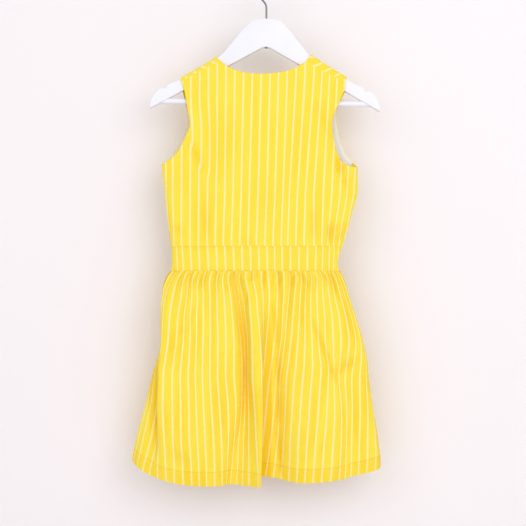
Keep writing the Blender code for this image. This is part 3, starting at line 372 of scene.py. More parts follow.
# Gathers of the skirt back from left to right: width along the seam, strength, reach down
GATHERS_BACK = [
    (7, 0.9, 60), (7, 1, 95), (8, 0.8, 70), (6, 1, 110),
    (8, 1.1, 60), (7, 0.9, 45), (6.5, 1, 80), (6.5, 0.9, 55),
    (7, 0.8, 40), (8.5, 1.1, 150), (9, 1.1, 170), (6, 0.9, 60),
    (8, 1, 50), (7, 1, 130), (9.5, 1.1, 180), (6, 0.9, 60),
    (11, 1, 90), (9, 0.9, 60), (6, 1.1, 75), (11, 1, 140),
    (9.5, 0.9, 80), (6, 1, 110),
]
GATHERS_FRONT = [
    (8, 1, 80), (7, 0.9, 60), (8, 1, 110), (7, 1, 60),
    (9, 1.1, 140), (7, 0.9, 60), (8, 1, 90), (7, 0.9, 50),
    (9, 1.1, 160), (7, 0.9, 60), (8, 1, 70), (8, 1, 110),
    (7, 0.9, 50), (9, 1.1, 150), (8, 1, 70), (7, 0.9, 60),
    (8, 1, 120), (7, 0.9, 60), (9, 1.1, 100), (8, 0.9, 60),
    (7, 1, 80), (8, 1, 60),
]

# Heights at which the skirt back's stripes and folds are given
SKIRT_HEIGHTS = (-557.2, -587.2, -632.4, -677.5, -737.6, -797.8, -858.0, -918.1)

# Path of the cloth's stripes down the skirt back: stripe number from the left, then x at each height
SKIRT_STRIPES = [
    (0.5, -184, -189.5, -191.5, -192.5, -210, -225, -240.5, -252),
    (2, -185, -193.5, -195, -196.5, -206.5, -214.5, -227.5, -239.5),
    (4, -180, -192, -197, -198, -195.5, -196.5, -201, -214),
    (5, -172, -186, -193, -195.5, -198.5, -201.5, -199.5, -200),
    (7, -151, -157.5, -164.5, -168, -171.5, -172.5, -171.5, -169),
    (9, -134.5, -138, -142, -142.5, -142.5, -142, -141, -137.5),
    (11, -115.5, -117.5, -117.5, -118.5, -116.5, -115, -112, -109.5),
    (13, -91, -92, -91.5, -90.5, -88.5, -85.5, -82, -81),
    (15, -70.5, -67.5, -63.5, -61, -58.5, -55, -58, -63.5),
    (16, -63.5, -59, -54, -48.5, -43.5, -44.5, -50, -53),
    (17, -57, -52.5, -47, -41.5, -38, -38.5, -41, -43),
    (18, -49.5, -45, -39, -35.5, -33, -32, -32, -31.5),
    (19, -38, -33.5, -29.5, -27, -24.5, -21, -18, -15),
    (20, -24, -19.5, -15.5, -11.5, -7, -6, -6, -8.5),
    (21, -9, -6.5, -5.5, -6.5, -6.5, -14.5, -21, -27),
    (22, 4, 6, 4, 0, -4.5, -14.5, -21, -26.5),
    (23, 20.5, 21.5, 19, 15.5, 8.5, 1.5, -4.5, -12.5),
    (24, 33, 33, 30.5, 27.5, 21, 16, 10, 1.5),
    (25, 44.5, 43, 38.5, 35, 28, 25.5, 22.5, 16),
    (27, 65.5, 64, 61.5, 58.5, 54, 49.5, 45.5, 43),
    (29, 84, 83.5, 83, 85, 85.5, 81, 76.5, 72.5),
    (31, 103.5, 105.5, 109, 110, 116, 113.5, 108.5, 103.5),
    (33, 120.5, 126.5, 135.5, 139.5, 135.5, 140, 139.5, 136),
    (35, 134.5, 145.5, 159, 167.5, 160.5, 160.5, 159, 157.5),
    (37, 143, 153.5, 167.5, 181.5, 187, 189, 188.5, 186.5),
    (38, 143.5, 152.5, 165.5, 181, 191.5, 198, 203.5, 203),
    (39, 142, 150, 162.5, 178, 190, 199, 208.5, 213),
    (39.75, 141, 148, 160, 175, 188, 198, 208.5, 215.5),
]

# Folds of the skirt back: stripe number, then the distance out of the seams' plane at each height
SKIRT_FOLDS = [
    (0.5, 0, 0, 0, 0, 0, 0, 0, 0),
    (2.5, 9, 11, 12, 12, 9, 8, 9, 12),
    (4, 13, 15, 17, 17, 9, 8, 10, 15),
    (5, 15, 18, 21, 23, 23, 23, 21, 19),
    (7, 14, 18, 22, 25, 26, 27, 27, 24),
    (9.5, 13, 17, 21, 24, 25, 26, 27, 27),
    (12.5, 13, 16, 19, 22, 24, 26, 27, 26),
    (14, 15, 18, 21, 23, 25, 27, 25, 16),
    (15.4, 13, 14, 17, 21, 25, 25, 14, 9),
    (16.8, 9, 8, 7, 7, 8, 10, 11, 14),
    (18.2, 14, 16, 18, 20, 19, 18, 21, 24),
    (19.4, 17, 20, 25, 29, 31, 32, 34, 35),
    (20.3, 16, 18, 21, 25, 30, 31, 30, 29),
    (21.5, 12, 11, 10, 11, 15, 15, 13, 13),
    (22.5, 9, 7, 5, 5, 9, 10, 9, 9),
    (23.3, 10, 9, 7, 4, 4, 6, 7, 8),
    (24, 11, 11, 10, 8, 4, 3, 5, 7),
    (25, 12, 13, 14, 13, 9, 5, 3, 4),
    (26.5, 15, 17, 19, 20, 19, 17, 13, 11),
    (28.5, 15, 17, 22, 26, 27, 27, 26, 26),
    (30.5, 14, 18, 17, 19, 25, 28, 28, 27),
    (32, 13, 16, 20, 21, 18, 26, 28, 27),
    (33.5, 12, 14, 17, 20, 19, 19, 20, 20),
    (35, 10, 12, 13, 14, 16, 15, 16, 17),
    (36.5, 7, 9, 10, 9, 14, 17, 19, 20),
    (38, 4, 5, 5, 4, 5, 8, 12, 14),
    (39.75, 0, 0, 0, 0, 0, 0, 0, 0),
]

# Lasting creases of the skirt back: start x, start height, end x, end height, depth, half width
SKIRT_CREASES = [
    (12, -596, 20, -705, 3.4, 4),
    (20, -700, 22.5, -770, 3.8, 4),
    (22.5, -765, 20.5, -845, 3.8, 4),
    (20.5, -840, 28, -942, 3.8, 4.5),
    (68, -560, 80, -630, 1.6, 4),
    (75.6, -615, 143, -782, 2.8, 4.2),
    (118, -742, 178, -708, 3, 8),
    (-120, -550, -124.5, -594, 2, 4.5),
    (-132, -606, -149, -664, 1.7, 5),
    (-144, -661, -168, -660, 2, 3.6),
    (-157, -552, -161.5, -586, 1.8, 2.8),
    (-141.5, -550, -144, -579, 2, 2.8),
    (-131, -552, -138, -590, 1.8, 2.8),
    (-116, -550, -128, -584, 2.4, 2.8),
    (-88.6, -550, -90, -572, 1.6, 2.6),
    (-75.8, -560, -74.5, -592, 1.6, 2.8),
    (-60, -550, -55.5, -580, 2.4, 2.8),
    (-40, -550, -30.5, -571, 2.2, 2.6),
    (-24, -550, -30.5, -570, 2.2, 2.6),
    (-38, -578, -36.5, -622, 2.4, 3.4),
    (-17.6, -546, -18.2, -562, 1.8, 2.4),
    (-1.7, -552, -4, -590, 1.8, 2.6),
    (14.8, -548, 8, -598, 1.8, 2.6),
    (27.7, -548, 20.5, -590, 2.4, 2.8),
    (52.4, -548, 45.3, -577, 2, 2.8),
    (65.2, -550, 69, -573, 1.8, 2.6),
    (76, -552, 79.4, -588, 2.6, 2.6),
    (91.2, -550, 94.7, -579, 1.8, 2.8),
    (106.4, -550, 115.8, -578, 2, 2.8),
    (119, -550, 137, -608, 2.4, 3.4),
    (-171.8, -652, -178, -730, 1.6, 5),
    (-52, -604, -44, -700, 1.8, 6),
    (142, -590, 172, -690, 1.8, 6),
    (-185, -880, -140, -906, 2, 9),
    (60, -600, 66, -660, 1.4, 6),
]

# Heading of the cloth across the skirt front in degrees, plus means away from the viewer.
# Columns: share of the width, then the heading at each of these shares of the length
FOLD_DEPTHS = (0.0, 0.12, 0.3, 0.5, 0.75, 1.0)
FOLDS_FRONT = [
    (0.000, 76, 72, 50, 50, 66, 74),
    (0.025, 56, 58, 44, 44, 54, 62),
    (0.060, 12, 20, 26, 30, 40, 44),
    (0.100, 0, 0, 6, 8, 12, 16),
    (0.170, 0, -8, -22, -26, -24, -22),
    (0.210, 0, 12, 26, 30, 30, 30),
    (0.280, 0, 4, 2, 0, 0, 0),
    (0.340, 0, -12, -34, -42, -42, -40),
    (0.390, 0, 18, 36, 42, 44, 44),
    (0.450, 0, 0, 2, 4, 4, 2),
    (0.520, 0, -6, -10, -12, -12, -14),
    (0.580, 0, -16, -30, -36, -38, -36),
    (0.630, 0, 18, 34, 38, 40, 40),
    (0.700, 0, 2, 4, 0, 0, 0),
    (0.780, 0, -10, -30, -34, -34, -32),
    (0.830, 0, 12, 24, 26, 26, 26),
    (0.900, 0, 0, -6, -8, -12, -14),
    (0.940, -12, -20, -26, -30, -38, -42),
    (0.975, -56, -58, -50, -52, -58, -62),
    (1.000, -76, -74, -66, -66, -70, -74),
]

# Hem edge across each skirt panel: share of the width, height
HEM_BACK = [
    (0.00, -905), (0.04, -915), (0.10, -931), (0.14, -939), (0.18, -944),
    (0.23, -947), (0.30, -947), (0.36, -946.5), (0.43, -948), (0.48, -948),
    (0.515, -947), (0.54, -937), (0.57, -931.5), (0.62, -935), (0.68, -940.5),
    (0.74, -941.5), (0.80, -938.5), (0.86, -934), (0.90, -928), (0.96, -920),
    (1.00, -914.2),
]
HEM_FRONT = [
    (0.00, -905), (0.10, -922), (0.25, -936), (0.40, -941), (0.50, -942),
    (0.65, -941), (0.80, -935), (0.92, -924), (1.00, -914.2),
]

# Half outline of the hanger body's upper edge: distance from the middle, drop below the crown
HANGER_EDGE = [
    (0, 0), (12, 0.4), (22, 2), (28.5, 5), (34, 10.5), (41, 18),
    (49, 27), (60, 41), (72, 55.5), (85, 70.5), (100, 80.4), (120, 93),
    (140, 104.6), (160, 116), (172, 121.4), (182, 125.2), (184.6, 128.2),
    (186.2, 132), (189, 133.6), (191.8, 132.6), (194, 131.4), (200, 135.6),
    (207, 142.6), (212, 150.6), (215.4, 159.4), (216.8, 166.4), (215, 171.5),
]
SHOULDER_ROWS = 14

# Centre line of the hook's wire from the crown to the start of the loop: x, height
HOOK_STEM = [(0.0, -60.0), (0.0, -53.0), (-1.2, -47.4), (-6.4, -39.6), (-14.2, -32.4), (-19.4, -26.0)]
LOOP_BEND_DEG = (172.0, 165.0)
LOOP_START_DEG = 160.0
LOOP_END_DEG = -24.0
LOOP_STEP_DEG = 6.5


def linear_colour(rgb):
    """Turn screen colour values into the linear values a shader takes."""
    channels = []
    for value in rgb:
        share = value / 255.0
        channels.append(share / 12.92 if share <= 0.04045 else ((share + 0.055) / 1.055) ** 2.4)
    return (*channels, 1.0)


def ease(value):
    """Smooth step from 0 to 1."""
    value = np.clip(value, 0.0, 1.0)
    return value * value * (3.0 - 2.0 * value)


def smooth_line(points, step):
    """A smooth curve through the points, sampled about every step."""
    result = []
    count = len(points)
    for index in range(count - 1):
        p0 = points[max(index - 1, 0)]
        p1 = points[index]
        p2 = points[index + 1]
        p3 = points[min(index + 2, count - 1)]
        parts = max(1, int(round(math.dist(p1, p2) / step)))
        for part in range(parts):
            t = part / parts
            place = []
            for a, b, c, d in zip(p0, p1, p2, p3):
                place.append(0.5 * (2 * b + (c - a) * t + (2 * a - 5 * b + 4 * c - d) * t * t
                                    + (3 * b - a - 3 * c + d) * t ** 3))
            result.append(tuple(place))
    result.append(tuple(points[-1]))
    return result


SMOOTH_SIDES = smooth_line([(row[0], row[1], row[2]) for row in SIDES], 4.0)
SIDE_HEIGHTS = [row[0] for row in reversed(SMOOTH_SIDES)]
SIDE_LEFTS = [row[1] for row in reversed(SMOOTH_SIDES)]
SIDE_RIGHTS = [row[2] for row in reversed(SMOOTH_SIDES)]


def side_edges(height):
    """Left and right edge of the dress at a height."""
    left = float(np.interp(height, SIDE_HEIGHTS, SIDE_LEFTS))
    right = float(np.interp(height, SIDE_HEIGHTS, SIDE_RIGHTS))
    return left, right


# Meshes

def add_piece(name, points, faces, material, cut=None):
    """Make one piece from points in millimetres. cut holds each point's place on the flat cloth; the striped
    cloth reads its third part as a share of painted shade.
    """
    mesh = bpy.data.meshes.new(name)
    mesh.from_pydata([Vector(point) * MM for point in points], [], faces)
    mesh.validate()
    mesh.materials.append(material)
    mesh.polygons.foreach_set("use_smooth", [True] * len(mesh.polygons))
    mesh.set_sharp_from_angle(angle=SHARP_ANGLE)
    if cut is not None:
        layer = mesh.attributes.new("cut", "FLOAT_VECTOR", "POINT")
        layer.data.foreach_set("vector", np.array(cut, dtype=np.float32).ravel())
    piece = bpy.data.objects.new(name, mesh)
    bpy.context.scene.collection.objects.link(piece)
    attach(piece, BODY)
    return piece


def closed_shell(outer, inner, faces):
    """Join an outer and an inner copy of a sheet with a rim into one closed wall."""
    count = len(outer)
    points = list(outer) + list(inner)
    walls = [tuple(face) for face in faces]
    walls += [tuple(index + count for index in reversed(face)) for face in faces]
    seen = set()
    for face in faces:
        for start, end in zip(face, face[1:] + face[:1]):
            seen.add((start, end))
    for start, end in seen:
        if (end, start) not in seen:
            walls.append((end, start, start + count, end + count))
    return points, walls


def grid_faces(rows, columns, viewer_side):
    """Four-sided faces of a grid, turned outwards."""
    faces = []
    for row in range(rows - 1):
        for column in range(columns - 1):
            first = row * columns + column
            face = (first, first + columns, first + columns + 1, first + 1)
            faces.append(face if viewer_side else tuple(reversed(face)))
    return faces


def ring_faces(rings, sides):
    """Faces of a body through rings of points, with a face across each end."""
    faces = []
    for ring in range(rings - 1):
        first = ring * sides
        for side in range(sides):
            after = (side + 1) % sides
            faces.append((first + side, first + after, first + sides + after, first + sides + side))
    faces.append(tuple(reversed(range(sides))))
    last = (rings - 1) * sides
    faces.append(tuple(range(last, last + sides)))
    return faces


def tube(centres, radii, sides):
    """Points and faces of a round tube along centres, closed at both ends."""
    points = []
    across = None
    for index, centre in enumerate(centres):
        before = centres[max(index - 1, 0)]
        after = centres[min(index + 1, len(centres) - 1)]
        run = (after - before).normalized()
        if across is None:
            across = run.orthogonal()
        across = (across - run * across.dot(run)).normalized()
        other = run.cross(across)
        for side in range(sides):
            turn = 2.0 * math.pi * side / sides
            points.append(centre + (across * math.cos(turn) + other * math.sin(turn)) * radii[index])
    return points, ring_faces(len(centres), sides)


def ripples(x, y, seed, table):
    """Small soft unevenness of hanging cloth."""
    total = 0.0
    for shift, size, height in table:
        total += height * noise.noise(Vector((x / size, y / (size * 1.7), seed + shift)))
    return total


# Skirt

def edge_calm(shares, width):
    """1 across a panel, falling softly to 0 at both side seams."""
    return ease(shares / width) * ease((1.0 - shares) / width)


def summed(values):
    """Running sum of values halfway between neighbours, starting at zero."""
    return np.concatenate([[0.0], np.cumsum(0.5 * (values[1:] + values[:-1]))])


def gather_wave(gathers):
    """Phase, strength and reach of the gathers along a skirt panel's width."""
    widths = np.array([row[0] for row in gathers])
    ends = np.concatenate([[0.0], np.cumsum(widths)]) / widths.sum()
    shares = np.linspace(0.0, 1.0, SECTION_SAMPLES)
    phase = np.interp(shares, ends, np.arange(len(ends))) * 2.0 * math.pi
    middles = 0.5 * (ends[1:] + ends[:-1])
    strength = np.interp(shares, middles, [row[1] for row in gathers])
    reach = np.interp(shares, middles, [row[2] for row in gathers])
    return shares, phase, strength, reach


def fold_heading(share_down, shares):
    """Heading of the front's big folds across the width at one depth, in radians."""
    values = np.array([np.interp(share_down, FOLD_DEPTHS, row[1:]) for row in FOLDS_FRONT])
    stations = np.array([row[0] for row in FOLDS_FRONT])
    index = np.clip(np.searchsorted(stations, shares, side="right") - 1, 0, len(stations) - 2)
    blend = ease((shares - stations[index]) / (stations[index + 1] - stations[index]))
    return np.radians(values[index] * (1.0 - blend) + values[index + 1] * blend)


def front_section(wave, columns, share_down, length, left, right):
    """x and distance outwards of the skirt front's columns at one depth, from the cloth's headings."""
    shares, phase, strength, reach = wave
    depth = share_down * length
    fade = np.exp(-(depth / (reach * REACH_SCALE)) ** 2) + LASTING_GATHER
    gathers = np.cos(phase) * strength * fade * edge_calm(shares, SEAM_CALM_SHARE) * GATHER_HEADING
    base = fold_heading(share_down, shares)
    step = FRONT_CUT / (SECTION_SAMPLES - 1)
    low, high = 0.0, LARGEST_GAIN
    for _ in range(GAIN_STEPS):
        gain = 0.5 * (low + high)
        heading = gain * (base + gathers)
        across = summed(np.cos(heading)) * step
        if across[-1] > right - left:
            low = gain
        else:
            high = gain
    outward = summed(np.sin(heading)) * step
    flatness = 1.0 - (1.0 - HUNG_FLATNESS) * float(ease(share_down / FLATNESS_REACH))
    outward = (outward - outward[-1] * shares) * flatness
    across = left + across * (right - left) / across[-1]
    return np.interp(columns, shares, across), np.interp(columns, shares, outward)


def wall_in_plan(across, outward, thickness):
    """Inner curve of a wall in plan, the edge columns kept in the seam's plane."""
    dx = np.gradient(across)
    dy = np.gradient(outward)
    length = np.maximum(np.hypot(dx, dy), 1e-9)
    inner_x = across + dy / length * thickness
    inner_y = outward - dx / length * thickness
    inner_x[0], inner_y[0] = across[0] + thickness, outward[0]
    inner_x[-1], inner_y[-1] = across[-1] - thickness, outward[-1]
    return inner_x, inner_y


def smooth_at(stations, values, places):
    """Smooth curve through values given at stations, along the first axis."""
    stations = np.asarray(stations, dtype=float)
    values = np.asarray(values, dtype=float)
    slopes = np.gradient(values, stations, axis=0)
    index = np.clip(np.searchsorted(stations, places, side="right") - 1, 0, len(stations) - 2)
    width = stations[index + 1] - stations[index]
    t = (places - stations[index]) / width
    if values.ndim > 1 and np.ndim(places) > 0:
        t = t[:, None]
        width = width[:, None]
    rise = t * t * (3.0 - 2.0 * t)
    bend = t * (1.0 - t)
    return (values[index] * (1.0 - rise) + values[index + 1] * rise
            + width * bend * ((1.0 - t) * slopes[index] - t * slopes[index + 1]))


def back_grid(columns):
    """x and distance outwards of the skirt back's columns at each height of the tables."""
    numbers = (columns * BACK_CUT + FIRST_STRIPE) / STRIPE_PITCH
    across = smooth_at([row[0] for row in SKIRT_STRIPES], [row[1:] for row in SKIRT_STRIPES], numbers)
    outward = smooth_at([row[0] for row in SKIRT_FOLDS], [row[1:] for row in SKIRT_FOLDS], numbers)
    left, right = side_edges(BAND_FOOT_Z)
    first = across[:, 0]
    band_x = left + (first - first[0]) * (right - left) / (first[-1] - first[0])
    band_y = lens_depth(band_x, left, right, BAND_DEPTH)
    flare = LAST_FLARE * (across[:, -1] - across[:, -2])
    heights = np.array((BAND_FOOT_Z, *SKIRT_HEIGHTS, LOWEST_HEM))
    across = np.column_stack([band_x, across, across[:, -1] + flare])
    outward = np.column_stack([band_y, np.maximum(outward, 0.0), np.maximum(outward[:, -1], 0.0)])
    return -heights, across, outward


def back_section(grid, wave, columns, heights, top):
    """x, distance outwards and painted pucker shade of the skirt back's columns, each at its own height."""
    stations, across, outward = grid
    shares, phase, strength, reach = wave
    depths = top - heights
    xs = np.array([float(smooth_at(stations, row, -height)) for row, height in zip(across, heights)])
    ys = np.array([float(smooth_at(stations, row, -height)) for row, height in zip(outward, heights)])
    left, _ = side_edges(heights[0])
    _, right = side_edges(heights[-1])
    xs = left + (xs - xs.min()) * (right - left) / (xs.max() - xs.min())
    calm = edge_calm(columns, SEAM_CALM_SHARE)
    reach = np.interp(columns, shares, reach)
    strength = np.interp(columns, shares, strength)
    fade = (0.35 + 0.65 * ease(depths / 5.0)) * np.exp(-(depths / (reach * GATHER_REACH)) ** 2)
    turn = np.cos(np.interp(columns, shares, phase))
    reached = np.exp(-(depths / (reach * PUCKER_REACH)) ** 2)
    # Painted shade in the gathers' valleys, fading down the skirt
    valley = np.clip(-1.5 * turn - 0.5, 0.0, 1.0) ** 3 * strength * reached
    return xs, ys + GATHER_HEIGHT * turn * strength * fade * calm, PUCKER_PAINTED_SHADE * valley * calm


def fold_shade(across, outward):
    """Share of painted fold shade: how deep each column lies behind its neighbours and how steep it is, from
    0 to 1.
    """
    near = np.abs(across[:, None] - across[None, :]) < SHADE_WINDOW
    crest_near = np.where(near, outward[None, :], -1e3).max(axis=1)
    run, rise = np.gradient(across), np.gradient(outward)
    slope = np.abs(run) / np.maximum(np.hypot(run, rise), 1e-6)
    depth = (crest_near - outward - SHADE_START) / SHADE_DEPTH
    return np.clip(depth + SLOPE_SHADE * (1.0 - slope), 0.0, 1.0)


def skirt_rows():
    """Shares of the length at which the skirt has a row, closer near the band and the hem."""
    upper = [0.5 * (share ** 1.5) for share in np.linspace(0.0, 1.0, SKIRT_ROWS // 2)]
    lower = list(np.linspace(0.5, 0.93, SKIRT_ROWS // 2 - 10))[1:]
    turn = [HEM_TURN_SHARE - HEM_GROOVE_SHARE, HEM_TURN_SHARE, HEM_TURN_SHARE + HEM_GROOVE_SHARE]
    return upper + lower + turn + list(HEM_ROWS)


def skirt_panel(name, gathers, cut, hem, facing_sign, seams, material, seed):
    """One gathered skirt panel with its turned-up hem. facing_sign is -1 for the viewer's side.

    The back has no seams given: its own edges are returned, and the front is fitted to them.
    """
    wave = gather_wave(gathers)
    columns = np.linspace(0.0, 1.0, SKIRT_COLUMNS)
    grid = back_grid(columns)
    edge_line = smooth_line(hem, 0.01)
    edge = np.interp(columns, [row[0] for row in edge_line], [row[1] for row in edge_line])
    top = BAND_FOOT_Z - 0.5 * SEAM_GAP
    rows = skirt_rows()
    outer, inner, places, seam_points, stitches = [], [], [], [], []
    for number, share_down in enumerate(rows):
        heights = top + (edge - top) * share_down
        if seams is None:
            across, outward, painted_shade = back_section(grid, wave, columns, heights, top)
        else:
            across, outward = front_section(wave, columns, share_down, top - edge.mean(), *seams[number])
            painted_shade = np.zeros(len(columns))
        outward = outward + 0.5 * SEAM_GAP
        seam_points.append((across[0], across[-1]))
        # Painted shade in the folds' valleys and on their steep sides
        painted_shade = painted_shade + fold_shade(across, outward)
        calm = edge_calm(columns, RELIEF_CALM_SHARE)
        if seams is None:
            creases = np.array([crease_relief(x, z, SKIRT_CREASES) for x, z in zip(across, heights)])
            outward = outward - creases * calm
            # Painted shade in the lasting creases
            painted_shade = painted_shade + np.clip(creases, 0.0, 4.0) / CREASE_SHADE_DEPTH
        bumps = [ripples(share * cut, height, seed, SKIRT_RIPPLES) for share, height in zip(columns, heights)]
        outward = outward + np.array(bumps) * calm * float(ease(share_down / 0.08))
        at_stitches = share_down == HEM_TURN_SHARE
        in_hem = share_down >= HEM_TURN_SHARE
        tuck = 0.4 * HEM_SHELL * max(share_down - HEM_ROUND_SHARE, 0.0) / (1.0 - HEM_ROUND_SHARE)
        groove_x, groove_y = wall_in_plan(across, outward, HEM_GROOVE if at_stitches else tuck)
        inner_x, inner_y = wall_in_plan(across, outward, HEM_SHELL - tuck if in_hem else SHELL)
        outer += list(zip(groove_x, facing_sign * groove_y, heights))
        inner += list(zip(inner_x, facing_sign * inner_y, heights))
        # Painted shade over the turned-up hem, where the double cloth lets less light through
        painted_shade = np.clip(painted_shade + (HEM_PAINTED_SHADE if in_hem else 0.0), 0.0, 1.0)
        places += list(zip((columns * cut + FIRST_STRIPE) * MM, (top - heights) * MM, painted_shade))
        if at_stitches:
            lift_x, lift_y = wall_in_plan(across, outward, -STITCH_LIFT)
            stitches = [Vector(spot) for spot in zip(lift_x, facing_sign * lift_y, heights)]
    faces = grid_faces(len(rows), SKIRT_COLUMNS, facing_sign < 0)
    points, walls = closed_shell(outer, inner, faces)
    piece = add_piece(name, points, walls, material, places + places)
    return piece, seam_points, stitches


# Waistband

def lens_depth(x, left, right, depth):
    """Distance out of the side seams' plane on the flattened tube of the garment."""
    middle = 0.5 * (left + right)
    half = 0.5 * (right - left)
    share = np.clip(np.abs((x - middle) / half), 0.0, 1.0)
    return depth * (1.0 - share ** SECTION_POWER) ** (1.0 / SECTION_POWER)


def band_panel(name, facing_sign, material):
    """One half of the waistband from side seam to side seam."""
    heights = np.linspace(BAND_TOP_Z - 0.5 * SEAM_GAP, BAND_FOOT_Z + 0.5 * SEAM_GAP, BAND_ROWS)
    turns = np.linspace(-0.5 * math.pi, 0.5 * math.pi, BAND_COLUMNS)
    numbers, places = zip(*STRIPES_BAND)
    creases = BAND_CREASES if facing_sign < 0 else []
    calm = np.cos(turns) ** 0.5
    outer, inner, cut = [], [], []
    for height in heights:
        left, right = side_edges(height)
        across = 0.5 * (left + right) + 0.5 * (right - left) * np.sin(turns)
        outward = lens_depth(across, left, right, BAND_DEPTH) + 0.5 * SEAM_GAP
        edge = min(height - heights[-1], heights[0] - height)
        roll = 0.2 * math.exp(-(edge / 1.4) ** 2)
        bumps = ((0.0, 12.0, 0.7 * math.exp(-edge / 7.0) + 0.25),)
        pucker = [
            ripples(x, height * 1.5, 41.0 * facing_sign, bumps) - crease_relief(x, height, creases)
            for x in across
        ]
        outward = outward - roll * calm + np.array(pucker) * calm
        # A slight even share of the fold colour over the whole band, and painted shade that deepens towards
        # its top and foot seams
        painted_shade = [0.05 + 0.35 * math.exp(-edge / 3.0)] * len(across)
        inner_x, inner_y = wall_in_plan(across, outward, BAND_SHELL)
        outer += list(zip(across, facing_sign * outward, [height] * len(across)))
        inner += list(zip(inner_x, facing_sign * inner_y, [height] * len(across)))
        above_middle = height - 0.5 * (BAND_TOP_Z + BAND_FOOT_Z)
        lean = 0.05 * above_middle * np.clip((40.0 - across) / 150.0, -1.0, 1.0)
        stripe = np.interp(across + lean, places, numbers) * STRIPE_PITCH
        cut += list(zip(stripe * MM, [(BAND_TOP_Z - height) * MM] * len(across), painted_shade))
    faces = grid_faces(BAND_ROWS, BAND_COLUMNS, facing_sign < 0)
    points, walls = closed_shell(outer, inner, faces)
    return add_piece(name, points, walls, material, cut + cut)


# Bodice

def hanger_top(x):
    """Height of the hanger body's upper edge at a distance along the dress, tilt included."""
    rows = HANGER_EDGE[:SHOULDER_ROWS]
    drop = np.interp(abs(x), [row[0] for row in rows], [row[1] for row in rows])
    return CROWN_Z - drop - x * math.tan(HANGER_TILT)


def crest(x):
    """Height of the cloth's fold over the hanger."""
    return float(hanger_top(x)) + CREST_CLEARANCE


def crease_relief(x, height, creases):
    """Depth of the lasting creases at a place on a panel."""
    total = 0.0
    for x0, z0, x1, z1, depth, half_width in creases:
        run_x, run_z = x1 - x0, z1 - z0
        off_x, off_z = x - x0, height - z0
        along = min(max((off_x * run_x + off_z * run_z) / (run_x * run_x + run_z * run_z), 0.0), 1.0)
        near_x, near_z = off_x - run_x * along, off_z - run_z * along
        distance = math.hypot(near_x, near_z)
        if distance < 3.0 * half_width:
            total += depth * math.exp(-(distance / half_width) ** 2) * math.sin(math.pi * along)
    return total


def bodice_depth(x, height, start):
    """Distance of a bodice panel from the seams' plane; start is where it leaves the hanger."""
    left, right = side_edges(min(height, SIDES[0][0]))
    lens = float(lens_depth(x, left, right, BODICE_DEPTH))
    blend = float(ease((start - height) / SHOULDER_BLEND))
    waist = float(ease((height - BAND_TOP_Z) / 60.0))
    depth = lens * (waist + (1.0 - waist) * BAND_DEPTH / BODICE_DEPTH)
    return SHOULDER_DEPTH * (1.0 - blend) + depth * blend + 0.5 * SEAM_GAP


def relief(x, height, creases, seed, start):
    """All small forms of a bodice panel together, zero at the side seams and on the hanger."""
    left, right = side_edges(height)
    calm = float(ease((x - left) / 9.0) * ease((right - x) / 9.0)) if height < SIDE_CALM_TOP_Z else 1.0
    calm *= float(ease((start - height) / 25.0))
    pucker = 0.45 * math.exp(-(height - BAND_TOP_Z) / 9.0) * math.sin(x * 0.75 + 2.0 * math.sin(x * 0.11))
    return (crease_relief(x, height, creases) + ripples(x, height, seed, BODICE_RIPPLES) + pucker) * calm


def crease_painted_shade(x, height, creases):
    """Share of painted fold shade in the creases at a place on a bodice panel."""
    return min(crease_relief(x, height, creases) / BODICE_SHADE_DEPTH, LARGEST_BODICE_SHADE)


def back_place(x, height):
    """Place of a point of the bodice back on the viewer's side."""
    start = crest(x) - SHOULDER_DEPTH
    depth = bodice_depth(x, height, start)
    return Vector((x, -(depth - relief(x, height, BACK_CREASES, 3.0, start)), height))


def front_place(x, run):
    """Place of a point of the bodice front, which wraps over the hanger to the shoulder seam."""
    start = crest(x) - SHOULDER_DEPTH
    if run <= start:
        depth = bodice_depth(x, run, start) - relief(x, run, FRONT_CREASES, 23.0, start)
        return Vector((x, depth, run))
    turn = (run - start) / SHOULDER_DEPTH
    if turn <= math.pi:
        side = math.copysign(abs(math.cos(turn)) ** WRAP_SQUARENESS, math.cos(turn))
        rise = math.sin(turn) ** WRAP_SQUARENESS
        return Vector((x, (SHOULDER_DEPTH + 0.5 * SEAM_GAP) * side, start + SHOULDER_DEPTH * rise))
    return Vector((x, -SHOULDER_DEPTH - 0.5 * SEAM_GAP, start - (turn - math.pi) * SHOULDER_DEPTH))


def wrapped_run(x, height):
    """Length along the front panel of a point beyond the crest, on the viewer's side."""
    start = crest(x) - SHOULDER_DEPTH
    rise = height - start
    if rise <= 0.0:
        return start + math.pi * SHOULDER_DEPTH - rise
    turn = math.pi - math.asin(min(rise / SHOULDER_DEPTH, 1.0) ** (1.0 / WRAP_SQUARENESS))
    return start + turn * SHOULDER_DEPTH


def back_cut(x, height):
    """Place on the flat cloth of the bodice back, from where the stripes run."""
    numbers = [row[0] for row in STRIPES_BACK]
    levels = [-level for level in STRIPE_HEIGHTS]
    places = [float(np.interp(-height, levels, row[1:])) for row in STRIPES_BACK]
    shift = 0.0
    if x > -150.0:
        lap_x = np.interp(height, LAP_HEIGHTS, LAP_PLACES)
        beyond = float(ease((x - lap_x + 5.0) / 10.0)) * float(ease((-84.0 - x) / 30.0))
        reach = float(ease((-215.0 - height) / 80.0) * ease((height + 380.0) / 30.0))
        shift = LAP_WIDTH * beyond * reach
    return np.interp(x - shift, places, numbers) * STRIPE_PITCH


def front_cut(x, run):
    """Place on the flat cloth of the bodice front: its grain turns where it folds over the hanger."""
    slope = (crest(x + 6.0) - crest(x - 6.0)) / 12.0
    turn = math.atan(slope)
    over = max(run - (crest(x) + (0.5 * math.pi - 1.0) * SHOULDER_DEPTH), 0.0)
    return x - 2.0 * over * math.sin(turn) * math.cos(turn)


def side_line(from_height, to_height, use_left, step):
    """Points down one side seam, ends included."""
    count = max(2, int(round((from_height - to_height) / step)))
    heights = np.linspace(from_height, to_height, count)
    return [(side_edges(height)[0 if use_left else 1], float(height)) for height in heights]


